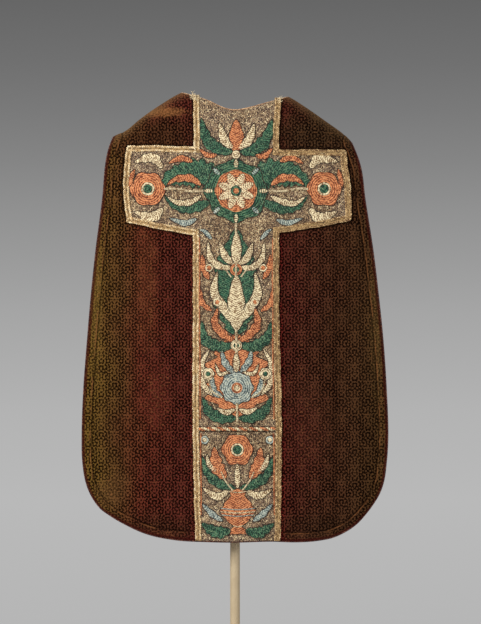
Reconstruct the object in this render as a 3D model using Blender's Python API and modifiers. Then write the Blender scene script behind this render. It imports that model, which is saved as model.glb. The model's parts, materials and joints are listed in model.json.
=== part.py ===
# Chasuble on a shoulder-form stand
#
# Metres, +Z up. The floor is z = 0 and the pole stands on x = 0, y = 0.
# The back of the garment, with the cross, faces -Y, and the front faces +Y.
# Each panel is one grid of points. What is sewn on a panel is made from the same points, moved out.

import math
from collections import namedtuple

import bmesh
import bpy
from mathutils import Vector

# Cloth sizes
VELVET = 0.0020            # velvet, interlining and lining together
EMBROIDERY = 0.0016        # linen with laid and couched thread
GALLOON = 0.0018           # woven edging of the cross
BAND_CORD = 0.0028         # twisted cord across the column
GALLOON_WIDTH = 0.015
BAND_HEIGHT = 0.010
CLEARANCE = 0.0003         # between pieces that touch
SEAM = 0.0003              # between pieces that are sewn edge to edge
PIPING_RADIUS = 0.0016
BINDING_RADIUS = 0.0013
BINDING_CLEARANCE = 0.0006

# Shoulder shape that the cloth wraps over
DEPTH_AT_NECK = 0.058      # half the depth from front to back
DEPTH_AT_SHOULDER = 0.040
CROWN_AT_NECK = 0.050      # height over which the cloth turns from level to upright
CROWN_AT_SHOULDER = 0.032
SHOULDER_REACH = 0.300
NECK_REACH = 0.130
SIDE_SETBACK = 0.015       # how far the free sides turn in towards the other panel
SETBACK_DROP = 0.350
WIDEST = 0.375

# Outline tables, in metres. Heights are above the floor, x is to the right seen from the back.
Point = namedtuple("Point", "x height")
Edge = namedtuple("Edge", "height reach")
Band = namedtuple("Band", "height left right")
Hang = namedtuple("Hang", "height outward")
Fold = namedtuple("Fold", "top_x top_height low_x low_height spread swell")

RIDGE = [
    Point(-0.299, 1.4310), Point(-0.268, 1.4460), Point(-0.239, 1.4700), Point(-0.194, 1.5025),
    Point(-0.150, 1.5300), Point(-0.133, 1.5385), Point(-0.100, 1.5470), Point(0.000, 1.5480),
    Point(0.100, 1.5380), Point(0.133, 1.5285), Point(0.165, 1.5090), Point(0.224, 1.4680),
    Point(0.268, 1.4360), Point(0.286, 1.4185),
]
NECK_LEFT, NECK_RIGHT = -0.133, 0.133
BACK_NECKLINE = [
    Point(-0.133, 1.5385), Point(-0.102, 1.5285), Point(-0.065, 1.5155), Point(-0.028, 1.4975),
    Point(0.000, 1.4925), Point(0.030, 1.4970), Point(0.070, 1.5085), Point(0.108, 1.5200),
    Point(0.133, 1.5285),
]
FRONT_NECKLINE = [
    Point(-0.133, 1.5385), Point(-0.118, 1.4980), Point(-0.096, 1.4520), Point(-0.062, 1.4120),
    Point(0.000, 1.3920), Point(0.062, 1.4080), Point(0.096, 1.4460), Point(0.118, 1.4900),
    Point(0.133, 1.5285),
]
BACK_LEFT_EDGE = [
    Edge(0.514, 0.331), Edge(0.541, 0.350), Edge(0.575, 0.3645), Edge(0.629, 0.3735), Edge(0.690, 0.3750),
    Edge(0.806, 0.3710), Edge(0.925, 0.3620), Edge(1.042, 0.3520), Edge(1.160, 0.3395), Edge(1.279, 0.3240),
    Edge(1.367, 0.3160), Edge(1.402, 0.3085), Edge(1.431, 0.2990),
]
BACK_RIGHT_EDGE = [
    Edge(0.514, 0.332), Edge(0.541, 0.350), Edge(0.575, 0.3635), Edge(0.629, 0.3715), Edge(0.690, 0.3750),
    Edge(0.806, 0.3710), Edge(0.925, 0.3630), Edge(1.042, 0.3510), Edge(1.160, 0.3365), Edge(1.279, 0.3180),
    Edge(1.350, 0.3090), Edge(1.390, 0.2970), Edge(1.4185, 0.2860),
]
BACK_HEM = [
    Point(-0.331, 0.5140), Point(-0.284, 0.4850), Point(-0.221, 0.4560), Point(-0.150, 0.4410),
    Point(-0.060, 0.4360), Point(0.000, 0.4350), Point(0.090, 0.4370), Point(0.150, 0.4350),
    Point(0.202, 0.4380), Point(0.248, 0.4480), Point(0.300, 0.4790), Point(0.332, 0.5140),
]
FRONT_LEFT_EDGE = [
    Edge(0.520, 0.272), Edge(0.570, 0.290), Edge(0.650, 0.296), Edge(0.800, 0.285), Edge(0.950, 0.265),
    Edge(1.080, 0.246), Edge(1.200, 0.240), Edge(1.300, 0.250), Edge(1.380, 0.276), Edge(1.431, 0.299),
]
FRONT_RIGHT_EDGE = [
    Edge(0.520, 0.272), Edge(0.570, 0.290), Edge(0.650, 0.296), Edge(0.800, 0.285), Edge(0.950, 0.265),
    Edge(1.080, 0.246), Edge(1.200, 0.239), Edge(1.300, 0.246), Edge(1.375, 0.266), Edge(1.4185, 0.286),
]
FRONT_HEM = [
    Point(-0.272, 0.5200), Point(-0.220, 0.4840), Point(-0.130, 0.4580), Point(0.000, 0.4520),
    Point(0.130, 0.4580), Point(0.220, 0.4840), Point(0.272, 0.5200),
]

# The cross, measured over its galloon
ORPHREY_COLUMN = [
    Band(0.4350, -0.0965, 0.1110), Band(0.5200, -0.0995, 0.1130), Band(0.7740, -0.1036, 0.1135),
    Band(0.9750, -0.1028, 0.1085), Band(1.1900, -0.1026, 0.1080), Band(1.4040, -0.1012, 0.1070),
    Band(1.5400, -0.1026, 0.1140),
]
ARM_ENDS = [
    Band(0.4350, -0.2660, 0.2760), Band(1.1000, -0.2640, 0.2860), Band(1.2200, -0.2650, 0.2850),
    Band(1.2700, -0.2735, 0.2860), Band(1.3600, -0.2725, 0.2765), Band(1.4050, -0.2650, 0.2710),
    Band(1.5400, -0.2600, 0.2680),
]
ARM_TOP = [
    Point(-0.330, 1.4000), Point(-0.265, 1.4065), Point(-0.102, 1.4035), Point(0.107, 1.3965),
    Point(0.271, 1.3950), Point(0.330, 1.3860),
]
ARM_BOTTOM = [
    Point(-0.350, 1.2250), Point(-0.265, 1.2172), Point(-0.180, 1.2000), Point(-0.102, 1.1875),
    Point(0.003, 1.1885), Point(0.108, 1.1925), Point(0.222, 1.2095), Point(0.285, 1.2220), Point(0.350, 1.2300),
]
BAND_TOP = 0.7160

# How far each panel swings out below the shoulders, and its largest folds
BACK_HANG = [
    Hang(0.430, 0.008), Hang(0.600, 0.004), Hang(0.850, 0.007), Hang(1.100, 0.010), Hang(1.300, 0.006),
    Hang(1.450, 0.000), Hang(1.560, 0.000),
]
FRONT_HANG = [
    Hang(0.430, 0.010), Hang(0.600, 0.004), Hang(0.850, 0.003), Hang(1.100, 0.008), Hang(1.250, 0.009),
    Hang(1.450, 0.000), Hang(1.560, 0.000),
]
BACK_FOLDS = [
    Fold(-0.280, 1.425, -0.312, 1.020, 0.019, 0.0080),
    Fold(-0.215, 1.400, -0.235, 0.330, 0.048, 0.0075),
    Fold(-0.128, 1.390, -0.122, 0.480, 0.020, -0.0045),
    Fold(-0.320, 0.960, -0.300, 0.300, 0.034, 0.0080),
    Fold(-0.272, 1.080, -0.268, 0.420, 0.022, -0.0050),
    Fold(0.272, 1.410, 0.302, 1.080, 0.019, 0.0080),
    Fold(0.205, 1.360, 0.218, 0.330, 0.044, 0.0070),
    Fold(0.132, 1.390, 0.136, 0.520, 0.018, -0.0040),
    Fold(0.318, 1.040, 0.296, 0.300, 0.036, 0.0090),
    Fold(0.262, 0.980, 0.258, 0.400, 0.020, -0.0045),
]
FRONT_FOLDS = [
    Fold(-0.150, 1.470, -0.165, 0.330, 0.034, 0.0090),
    Fold(-0.092, 1.330, -0.085, 0.480, 0.026, -0.0065),
    Fold(-0.020, 1.240, -0.012, 0.300, 0.036, 0.0060),
    Fold(0.078, 1.370, 0.070, 0.400, 0.024, -0.0070),
    Fold(0.148, 1.450, 0.160, 0.300, 0.036, 0.0100),
    Fold(-0.225, 1.360, -0.240, 0.560, 0.020, 0.0060),
    Fold(0.222, 1.340, 0.236, 0.640, 0.020, 0.0060),
]

# Stand
POLE_RADIUS = 0.012
BASE_RADIUS = 0.190
BASE_THICKNESS = 0.012
BASE_EDGE = 0.003
COLLAR_RADIUS = 0.021
COLLAR_HEIGHT = 0.028
FLANGE_RADIUS = 0.032
FLANGE_THICKNESS = 0.006
FORM_BOTTOM = 1.345        # flat underside over the flange
FORM_RISE = 0.025          # of the underside towards its ends
FORM_INSET = 0.0015        # under the wall of the cloth, so that flat facets stay clear of each other
FORM_SCOOP = 1.476         # lowest top of the form, inside the neck
FORM_SIDE_INSET = 0.0035

SIDES = {"back": -1.0, "front": 1.0}
COLOURS = {
    "velvet": ((0.110, 0.030, 0.022), 0.85, 0.0),
    "orphrey": ((0.300, 0.230, 0.160), 0.70, 0.1),
    "galloon": ((0.620, 0.500, 0.280), 0.60, 0.2),
    "piping": ((0.190, 0.020, 0.022), 0.75, 0.0),
    "form_cover": ((0.680, 0.640, 0.560), 0.90, 0.0),
    "stand_paint": ((0.480, 0.400, 0.270), 0.55, 0.0),
}


def smooth_value(rows, where, column):
    """Value of a table's column at a place along its first smooth ordering column."""
    key = "height" if column in ("reach", "left", "right", "outward") else "x"
    rows = sorted(rows, key=lambda row: getattr(row, key))
    places = [getattr(row, key) for row in rows]
    values = [getattr(row, column) for row in rows]
    last = len(rows) - 1
    slopes = [(values[k + 1] - values[k]) / (places[k + 1] - places[k]) for k in range(last)]
    if where <= places[0]:
        return values[0] + slopes[0] * (where - places[0])
    if where >= places[last]:
        return values[last] + slopes[-1] * (where - places[last])
    k = max(n for n in range(last) if places[n] <= where)
    step = places[k + 1] - places[k]
    t = (where - places[k]) / step
    start = slopes[k] if k == 0 else (slopes[k - 1] + slopes[k]) / 2
    end = slopes[k] if k == last - 1 else (slopes[k] + slopes[k + 1]) / 2
    return (
        values[k] * (2 * t ** 3 - 3 * t ** 2 + 1)
        + values[k + 1] * (3 * t ** 2 - 2 * t ** 3)
        + start * step * (t ** 3 - 2 * t ** 2 + t)
        + end * step * (t ** 3 - t ** 2)
    )


def ease(value):
    """Smooth step from 0 to 1."""
    t = min(1.0, max(0.0, value))
    return t * t * (3 - 2 * t)


def mix(a, b, share):
    return a + (b - a) * share


def shoulder_share(x):
    """0 at the neck and 1 at the end of the shoulder."""
    return max(0.0, (abs(x) - NECK_REACH) / (SHOULDER_REACH - NECK_REACH))


def half_depth(x):
    return mix(DEPTH_AT_NECK, DEPTH_AT_SHOULDER, min(1.25, (abs(x) / SHOULDER_REACH) ** 2))


def crown_height(x):
    return mix(CROWN_AT_NECK, CROWN_AT_SHOULDER, min(1.0, shoulder_share(x)))


def fold_swell(folds, x, height):
    """Sum of the soft ridges and troughs at one place, outwards."""
    total = 0.0
    for fold in folds:
        down = (fold.top_height - height) / (fold.top_height - fold.low_height)
        if 0.0 < down < 1.0:
            centre = mix(fold.top_x, fold.low_x, down)
            fade = ease(down / 0.25) * ease((1 - down) / 0.2)
            total += fold.swell * fade * math.exp(-((x - centre) / fold.spread) ** 2)
    return total


def cloth_depth(side, x, height):
    """Distance of a panel's outer face from the plane of the pole."""
    drop = max(0.0, smooth_value(RIDGE, x, "height") - height)
    crown = crown_height(x)
    turn = 1.0 if drop >= crown else math.sqrt(1 - (1 - drop / crown) ** 2)
    hang = BACK_HANG if side == "back" else FRONT_HANG
    folds = BACK_FOLDS if side == "back" else FRONT_FOLDS
    swing = smooth_value(hang, height, "outward") * ease(drop / 0.12) * (1 - (x / 0.42) ** 2)
    setback = SIDE_SETBACK * ease(drop / SETBACK_DROP) * (abs(x) / WIDEST) ** 3
    return half_depth(x) * turn + swing - setback + fold_swell(folds, x, height) * ease(drop / 0.08)


def crown_steps(count, power):
    """Shares from 0 to 1 that lie close together at the top, where the cloth turns over."""
    return [(1 - math.cos(math.pi / 2 * k / count)) ** power for k in range(count + 1)]


def even_steps(count):
    return [k / count for k in range(count + 1)]


class Grid:
    """Points and outward normals of a panel's outer face, by column and row."""

    def __init__(self, side, columns, rows):
        self.side = side
        self.sign = SIDES[side]
        self.last_column = len(columns) - 1
        self.last_row = len(rows) - 1
        self.points = [[None] * len(rows) for _ in columns]
        for j, row in enumerate(rows):
            for i, (x, height) in enumerate(row(columns)):
                depth = cloth_depth(side, x, height) + SEAM / 2
                self.points[i][j] = Vector((x, self.sign * depth, height))
        self.normals = [[self.normal(i, j) for j in range(len(rows))] for i in range(len(columns))]

    def on_ridge(self, i, j):
        point = self.points[i][j]
        return j == 0 and abs(smooth_value(RIDGE, point.x, "height") - point.z) < 1e-4

    def normal(self, i, j):
        across = self.points[min(i + 1, self.last_column)][j] - self.points[max(i - 1, 0)][j]
        down = self.points[i][min(j + 1, self.last_row)] - self.points[i][max(j - 1, 0)]
        if self.on_ridge(i, j):
            x = self.points[i][j].x
            rise = smooth_value(RIDGE, x + 0.004, "height") - smooth_value(RIDGE, x - 0.004, "height")
            return Vector((-rise, 0, 0.008)).normalized()
        return across.cross(down).normalized() * self.sign

    def point(self, i, j, offset, trims=()):
        """A grid point moved out by offset. A trim pulls a column or row back for a seam."""
        place = self.points[i][j] + self.normals[i][j] * offset
        for axis, line, direction in trims:
            if (i if axis == "column" else j) == line:
                ni, nj = (i + direction, j) if axis == "column" else (i, j + direction)
                towards = self.points[ni][nj] + self.normals[ni][nj] * offset - place
                place = place + towards.normalized() * SEAM / 2
        return place


def material(name):
    found = bpy.data.materials.get(name)
    if found:
        return found
    colour, roughness, metallic = COLOURS[name]
    made = bpy.data.materials.new(name)
    made.use_nodes = True
    shader = made.node_tree.nodes["Principled BSDF"]
    shader.inputs["Base Color"].default_value = (*colour, 1.0)
    shader.inputs["Roughness"].default_value = roughness
    shader.inputs["Metallic"].default_value = metallic
    return made


def add_object(name, data, material_name, collection):
    obj = bpy.data.objects.new(name, data)
    obj.data.materials.append(material(material_name))
    collection.objects.link(obj)
    return obj


def wall(name, grid, cells, inner, outer, material_name, collection, trims=()):
    """A closed wall over a set of grid cells, between two distances from the panel's outer face."""
    mesh = bmesh.new()
    corners = {}

    def corner(face, i, j):
        key = (face, i, j)
        if key not in corners:
            corners[key] = mesh.verts.new(grid.point(i, j, outer if face == "outer" else inner, trims))
        return corners[key]

    for i, j in sorted(cells):
        loop = [(i, j), (i + 1, j), (i + 1, j + 1), (i, j + 1)]
        for half in (loop[:3], [loop[2], loop[3], loop[0]]):
            mesh.faces.new([corner("outer", *c) for c in half])
            mesh.faces.new([corner("inner", *c) for c in reversed(half)])
        beyond = [(i, j - 1), (i + 1, j), (i, j + 1), (i - 1, j)]
        for k, neighbour in enumerate(beyond):
            if neighbour not in cells:
                a, b = loop[k], loop[(k + 1) % 4]
                mesh.faces.new([corner("outer", *b), corner("outer", *a), corner("inner", *a), corner("inner", *b)])
    if grid.side == "back":
        bmesh.ops.reverse_faces(mesh, faces=mesh.faces)
    data = bpy.data.meshes.new(name)
    mesh.to_mesh(data)
    mesh.free()
    obj = add_object(name, data, material_name, collection)
    obj.data.shade_smooth()
    obj.data.set_sharp_from_angle(angle=math.radians(50))
    return obj


def block(columns, rows):
    """Every cell between two column lines and two row lines."""
    return {(i, j) for i in range(*columns) for j in range(*rows)}


def cord(name, path, radius, material_name, collection):
    """A closed round cord along a ring of points."""
    curve = bpy.data.curves.new(name, "CURVE")
    curve.dimensions = "3D"
    curve.bevel_depth = radius
    curve.bevel_resolution = 1
    spline = curve.splines.new("POLY")
    spline.points.add(len(path) - 1)
    for spot, place in zip(spline.points, path):
        spot.co = (*place, 1.0)
    spline.use_cyclic_u = True
    return add_object(name, curve, material_name, collection)


def beside_edge(grid, spot, before, after, distance):
    """The point beside an edge point, in the plane of the cloth and away from it, at mid wall."""
    i, j = spot
    here = grid.points[i][j]
    forward = (grid.points[after[0]][after[1]] - here).normalized()
    backward = (here - grid.points[before[0]][before[1]]).normalized()
    away = (forward + backward).cross(grid.normals[i][j]).normalized()
    inner = grid.points[max(1, min(grid.last_column - 1, i))][max(1, min(grid.last_row - 1, j))]
    if away.dot(inner - here) > 0:
        away = -away
    mitre = distance / max(0.7, (forward + backward).length / 2)
    return here - grid.normals[i][j] * VELVET / 2 + away * mitre


def beside_ridge(back, front, spot, back_next, front_next, distance):
    """The point beside the end of a shoulder ridge, where the back's edge meets the front's."""
    here = back.points[spot[0]][spot[1]]
    normal = back.normals[spot[0]][spot[1]]
    one = (back.points[back_next[0]][back_next[1]] - here).normalized()
    other = (front.points[front_next[0]][front_next[1]] - here).normalized()
    away = one + other
    away = (away - normal * away.dot(normal)).normalized()
    return Vector((here.x, 0, here.z)) - normal * VELVET / 2 + away * distance * 1.2


def edge_ring(back, front, back_spots, front_spots, distance):
    """A closed ring beside the cloth's edge: along the back, over a shoulder and back along the front."""
    ring = [beside_ridge(back, front, back_spots[0], back_spots[1], front_spots[1], distance)]
    for k in range(1, len(back_spots) - 1):
        ring.append(beside_edge(back, back_spots[k], back_spots[k - 1], back_spots[k + 1], distance))
    ring.append(beside_ridge(back, front, back_spots[-1], back_spots[-2], front_spots[-2], distance))
    for k in range(len(front_spots) - 2, 0, -1):
        ring.append(beside_edge(front, front_spots[k], front_spots[k - 1], front_spots[k + 1], distance))
    return ring


def outer_spots(grid):
    """The free edge from the left shoulder down the side, along the hem and up to the right shoulder."""
    down = [(0, j) for j in range(grid.last_row + 1)]
    along = [(i, grid.last_row) for i in range(1, grid.last_column)]
    up = [(grid.last_column, j) for j in range(grid.last_row, -1, -1)]
    return down + along + up


def neck_spots(grid):
    """The neckline's grid points, from the left neck point to the right one."""
    return [
        (i, 0) for i in range(grid.last_column + 1)
        if NECK_LEFT - 1e-6 <= grid.points[i][0].x <= NECK_RIGHT + 1e-6
    ]


# Lines of the back's grid
ARM_CELLS = 4
COLUMN_CELLS = 6
EDGE_CELLS = 4
ARM_LEFT = EDGE_CELLS
NECK_LEFT_LINE = ARM_LEFT + 5
COLUMN_LEFT = NECK_LEFT_LINE + 1
CENTRE = COLUMN_LEFT + 1 + COLUMN_CELLS // 2
COLUMN_RIGHT = COLUMN_LEFT + COLUMN_CELLS + 2
NECK_RIGHT_LINE = COLUMN_RIGHT + 1
ARM_RIGHT = NECK_RIGHT_LINE + 5
LAST_COLUMN = ARM_RIGHT + EDGE_CELLS
SHOULDER_XS = (0.222, 0.185, 0.148)

TOP_ROWS = 8
ARM_ROWS = 5
MIDDLE_ROWS = 10
LOW_ROWS = 6
ARM_TOP_ROW = TOP_ROWS
ARM_BOTTOM_ROW = ARM_TOP_ROW + ARM_ROWS
BAND_ROW = ARM_BOTTOM_ROW + MIDDLE_ROWS
LOW_ROW = BAND_ROW + 1
LAST_ROW = LOW_ROW + LOW_ROWS


def top_line(neckline, x):
    """Height of a panel's upper edge: the shoulder ridge, or the neckline between the neck points."""
    if NECK_LEFT < x < NECK_RIGHT:
        return smooth_value(neckline, x, "height")
    return smooth_value(RIDGE, x, "height")


def back_inner_columns(height):
    """The x of each column line between the ends of the arms, at a height."""
    arm_left, arm_right = (smooth_value(ARM_ENDS, height, end) for end in ("left", "right"))
    left, right = (smooth_value(ORPHREY_COLUMN, height, end) for end in ("left", "right"))
    inside = [
        mix(left + GALLOON_WIDTH, right - GALLOON_WIDTH, share) for share in even_steps(COLUMN_CELLS)
    ]
    return (
        [arm_left, arm_left + GALLOON_WIDTH]
        + [-x for x in SHOULDER_XS]
        + [NECK_LEFT, left] + inside + [right, NECK_RIGHT]
        + list(reversed(SHOULDER_XS))
        + [arm_right - GALLOON_WIDTH, arm_right]
    )


def back_blocks():
    """For each row line: the line above it, the line below it, and its share of the way down."""
    arm_border = GALLOON_WIDTH / 0.190
    arm_shares = [0.0, arm_border] + [
        mix(arm_border, 1 - arm_border, k / (ARM_ROWS - 2)) for k in range(1, ARM_ROWS - 2)
    ] + [1 - arm_border, 1.0]
    lines = {
        "top": lambda x: top_line(BACK_NECKLINE, x),
        "arm_top": lambda x: smooth_value(ARM_TOP, x, "height"),
        "arm_bottom": lambda x: smooth_value(ARM_BOTTOM, x, "height"),
        "band_top": lambda x: BAND_TOP,
        "band_bottom": lambda x: BAND_TOP - BAND_HEIGHT,
        "hem": lambda x: smooth_value(BACK_HEM, x, "height"),
    }
    spans = [
        ("top", "arm_top", crown_steps(TOP_ROWS, 1.0)[:-1]),
        ("arm_top", "arm_bottom", arm_shares[:-1]),
        ("arm_bottom", "band_top", even_steps(MIDDLE_ROWS)[:-1]),
        ("band_top", "band_bottom", [0.0]),
        ("band_bottom", "hem", even_steps(LOW_ROWS)),
    ]
    return [(lines[upper], lines[lower], share) for upper, lower, shares in spans for share in shares]


def back_row(upper, lower, share, is_first, is_last):
    """A function that gives the back's points along one row line."""

    def place(_columns):
        middle = mix(upper(0.0), lower(0.0), share)
        inner = []
        for x in back_inner_columns(middle):
            inner.append((x, mix(upper(x), lower(x), share)))
        row = []
        for table, end, sign in ((BACK_LEFT_EDGE, inner[0], -1), (BACK_RIGHT_EDGE, inner[-1], 1)):
            corner = table[-1].height
            foot = table[0].height
            high = corner if upper(0.0) > ARM_TOP[2].height else upper(end[0] * 1.2)
            low = foot if lower(0.0) < 0.6 else lower(end[0] * 1.2)
            height = corner if is_first else foot if is_last else mix(min(high, corner), low, share)
            edge = (sign * smooth_value(table, height, "reach"), height)
            steps = [k / EDGE_CELLS for k in range(EDGE_CELLS)]
            run = []
            for t in steps:
                x = mix(edge[0], end[0], t)
                straight = mix(edge[1], end[1], t)
                exact = upper(x) if is_first else lower(x) if is_last else straight
                run.append((x, exact if t else edge[1]))
            row.append(run)
        return row[0] + inner + list(reversed(row[1]))

    return place


def make_back_grid():
    blocks = back_blocks()
    rows = [
        back_row(upper, lower, share, k == 0, k == len(blocks) - 1)
        for k, (upper, lower, share) in enumerate(blocks)
    ]
    return Grid("back", [None] * (LAST_COLUMN + 1), rows)


# The front's grid: columns as shares of its half width at the ridge
FRONT_XS = (0.299, 0.284, 0.262, 0.222, 0.185, 0.148, 0.133, 0.118, 0.096, 0.064, 0.032)
FRONT_TOP_ROWS = 9
FRONT_LOW_ROWS = 13
CHEST = 1.290


def front_column_x(start, height):
    """The x of a front column at a height. Outer columns follow the edge more than inner ones."""
    table = FRONT_LEFT_EDGE if start < 0 else FRONT_RIGHT_EDGE
    corner = table[-1].reach
    share = abs(start) / FRONT_XS[0]
    reach = smooth_value(table, min(height, table[-1].height), "reach")
    scaled = share * corner if share > 0.9 else abs(start)
    return math.copysign(scaled + (reach - corner) * share ** 3, start)


def front_row(upper_share, lower_share, is_first, is_last):
    def place(_columns):
        starts = [-x for x in FRONT_XS] + [0.0] + list(reversed(FRONT_XS))
        row = []
        for start in starts:
            table = FRONT_LEFT_EDGE if start < 0 else FRONT_RIGHT_EDGE
            is_edge = abs(start) == FRONT_XS[0]
            height = CHEST
            x = start
            for _ in range(12):
                x = front_column_x(start, height)
                high = table[-1].height if is_edge else top_line(FRONT_NECKLINE, x)
                low = table[0].height if is_edge else smooth_value(FRONT_HEM, x, "height")
                upper = mix(high, CHEST, upper_share)
                height = upper if lower_share == 0.0 else mix(CHEST, low, lower_share)
            row.append((x, height))
        return row

    return place


def make_front_grid():
    shares = [(share, 0.0) for share in crown_steps(FRONT_TOP_ROWS, 1.15)]
    shares += [(1.0, share) for share in even_steps(FRONT_LOW_ROWS)[1:]]
    rows = [front_row(a, b, k == 0, k == len(shares) - 1) for k, (a, b) in enumerate(shares)]
    return Grid("front", [None] * (2 * len(FRONT_XS) + 1), rows)


def make_velvet(back, front, collection):
    left = block((0, CENTRE), (0, LAST_ROW))
    right = block((CENTRE, LAST_COLUMN), (0, LAST_ROW))
    whole = block((0, front.last_column), (0, front.last_row))
    wall("back_left", back, left, -VELVET, 0.0, "velvet", collection, [("column", CENTRE, -1)])
    wall("back_right", back, right, -VELVET, 0.0, "velvet", collection, [("column", CENTRE, 1)])
    wall("front", front, whole, -VELVET, 0.0, "velvet", collection)


def make_orphrey(back, collection):
    inner, outer = CLEARANCE, CLEARANCE + EMBROIDERY
    column = (COLUMN_LEFT, COLUMN_RIGHT)
    arms = (ARM_TOP_ROW, ARM_BOTTOM_ROW)
    seams = {
        "orphrey_column": (column, (0, BAND_ROW), [("row", BAND_ROW, -1)]),
        "orphrey_lower": (column, (BAND_ROW, LAST_ROW), [("row", BAND_ROW, 1)]),
        "orphrey_arm_left": ((ARM_LEFT, COLUMN_LEFT), arms, [("column", COLUMN_LEFT, -1)]),
        "orphrey_arm_right": ((COLUMN_RIGHT, ARM_RIGHT), arms, [("column", COLUMN_RIGHT, 1)]),
    }
    for name, (columns, rows, trims) in seams.items():
        cells = block(columns, rows)
        if name in ("orphrey_column",):
            trims = trims + [("column", COLUMN_LEFT, 1), ("column", COLUMN_RIGHT, -1)]
        wall(name, back, cells, inner, outer, "orphrey", collection, trims)


def make_galloon(back, collection):
    inner = 2 * CLEARANCE + EMBROIDERY
    border_rows = (ARM_TOP_ROW, ARM_BOTTOM_ROW - 1)
    left, right = set(), set()
    for cells, border, arm_end, run in (
        (left, COLUMN_LEFT, ARM_LEFT, (ARM_LEFT, COLUMN_LEFT + 1)),
        (right, COLUMN_RIGHT - 1, ARM_RIGHT - 1, (COLUMN_RIGHT - 1, ARM_RIGHT)),
    ):
        cells |= block((border, border + 1), (0, ARM_TOP_ROW))
        cells |= block((border, border + 1), (ARM_BOTTOM_ROW, LAST_ROW))
        cells |= block((arm_end, arm_end + 1), (ARM_TOP_ROW, ARM_BOTTOM_ROW))
        for row in border_rows:
            cells |= block(run, (row, row + 1))
    wall("galloon_left", back, left, inner, inner + GALLOON, "galloon", collection)
    wall("galloon_right", back, right, inner, inner + GALLOON, "galloon", collection)
    across = block((COLUMN_LEFT + 1, COLUMN_RIGHT - 1), (BAND_ROW, BAND_ROW + 1))
    trims = [("column", COLUMN_LEFT + 1, 1), ("column", COLUMN_RIGHT - 1, -1)]
    wall("band_cord", back, across, inner, inner + BAND_CORD, "galloon", collection, trims)


def make_piping(back, front, collection):
    ring = edge_ring(back, front, outer_spots(back), outer_spots(front), PIPING_RADIUS + CLEARANCE)
    cord("edge_piping", ring, PIPING_RADIUS, "piping", collection)
    ring = edge_ring(back, front, neck_spots(back), neck_spots(front), BINDING_RADIUS + BINDING_CLEARANCE)
    cord("neck_binding", ring, BINDING_RADIUS, "piping", collection)


def form_ring(x, top, bottom, steps=6):
    """One section of the shoulder form: a crown like the cloth's, upright sides and a flat underside."""
    depth = half_depth(x) - VELVET - FORM_INSET - FORM_SIDE_INSET
    crown = crown_height(x)
    upper = [
        (depth * math.sin(math.pi / 2 * k / steps), top - crown * (1 - math.cos(math.pi / 2 * k / steps)))
        for k in range(steps + 1)
    ]
    side = top - crown - 0.45 * (top - crown - bottom)
    lower = [(0.97 * depth, side), (0.80 * depth, mix(side, bottom, 0.72)), (0.50 * depth, bottom)]
    half = upper + lower
    ring = [Vector((x, y, z)) for y, z in half]
    ring += [Vector((x, -y, z)) for y, z in reversed(half[1:])]
    return ring


FormStation = namedtuple("FormStation", "x top bottom")


def form_stations():
    """Sections of the form from left to right: under the ridge at the shoulders, scooped at the neck."""
    lower = VELVET + FORM_INSET
    shoulders = (-0.272, -0.245, -0.215, -0.185, -0.155, -0.140)
    scoop = (
        (-0.118, 1.512), (-0.090, 1.487), (-0.045, FORM_SCOOP), (0.0, FORM_SCOOP - 0.004),
        (0.045, FORM_SCOOP), (0.090, 1.482), (0.118, 1.502),
    )
    right = (0.140, 0.155, 0.185, 0.215, 0.240, 0.262)
    stations = []
    for x in shoulders + tuple(x for x, _ in scoop) + right:
        inside = dict(scoop).get(x)
        slope = (smooth_value(RIDGE, x + 0.005, "height") - smooth_value(RIDGE, x - 0.005, "height")) / 0.01
        top = inside or smooth_value(RIDGE, x, "height") - lower * math.hypot(1.0, slope)
        stations.append(FormStation(x, top, FORM_BOTTOM + FORM_RISE * (abs(x) / 0.27) ** 4))
    return stations


def make_form(collection):
    """The padded shoulder form, a loft through its sections with rounded ends."""
    stations = form_stations()
    rings = [form_ring(*station) for station in stations]
    for end, outward in ((0, -1), (-1, 1)):
        station, ring = stations[end], rings[end]
        middle = sum(ring, Vector()) / len(ring)
        cap = [middle + (p - middle) * 0.72 + Vector((outward * 0.009, 0, 0)) for p in ring]
        rings = [cap] + rings if end == 0 else rings + [cap]
    mesh = bmesh.new()
    loops = [[mesh.verts.new(p) for p in ring] for ring in rings]
    count = len(loops[0])
    for a, b in zip(loops, loops[1:]):
        for k in range(count):
            mesh.faces.new([a[k], a[(k + 1) % count], b[(k + 1) % count], b[k]])
    mesh.faces.new(list(reversed(loops[0])))
    mesh.faces.new(loops[-1])
    bmesh.ops.recalc_face_normals(mesh, faces=mesh.faces)
    data = bpy.data.meshes.new("shoulder_form")
    mesh.to_mesh(data)
    mesh.free()
    obj = add_object("shoulder_form", data, "form_cover", collection)
    obj.data.shade_smooth()
    return obj


def cylinder(name, radius, low, high, sides, material_name, collection, edge=0.0):
    bpy.ops.mesh.primitive_cylinder_add(
        vertices=sides, radius=radius, depth=high - low, location=(0, 0, (low + high) / 2)
    )
    obj = bpy.context.object
    obj.name = name
    obj.data.materials.append(material(material_name))
    for other in list(obj.users_collection):
        other.objects.unlink(obj)
    collection.objects.link(obj)
    if edge:
        bevel = obj.modifiers.new("edge", "BEVEL")
        bevel.width = edge
        bevel.segments = 2
        bevel.limit_method = "ANGLE"
    return obj


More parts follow.
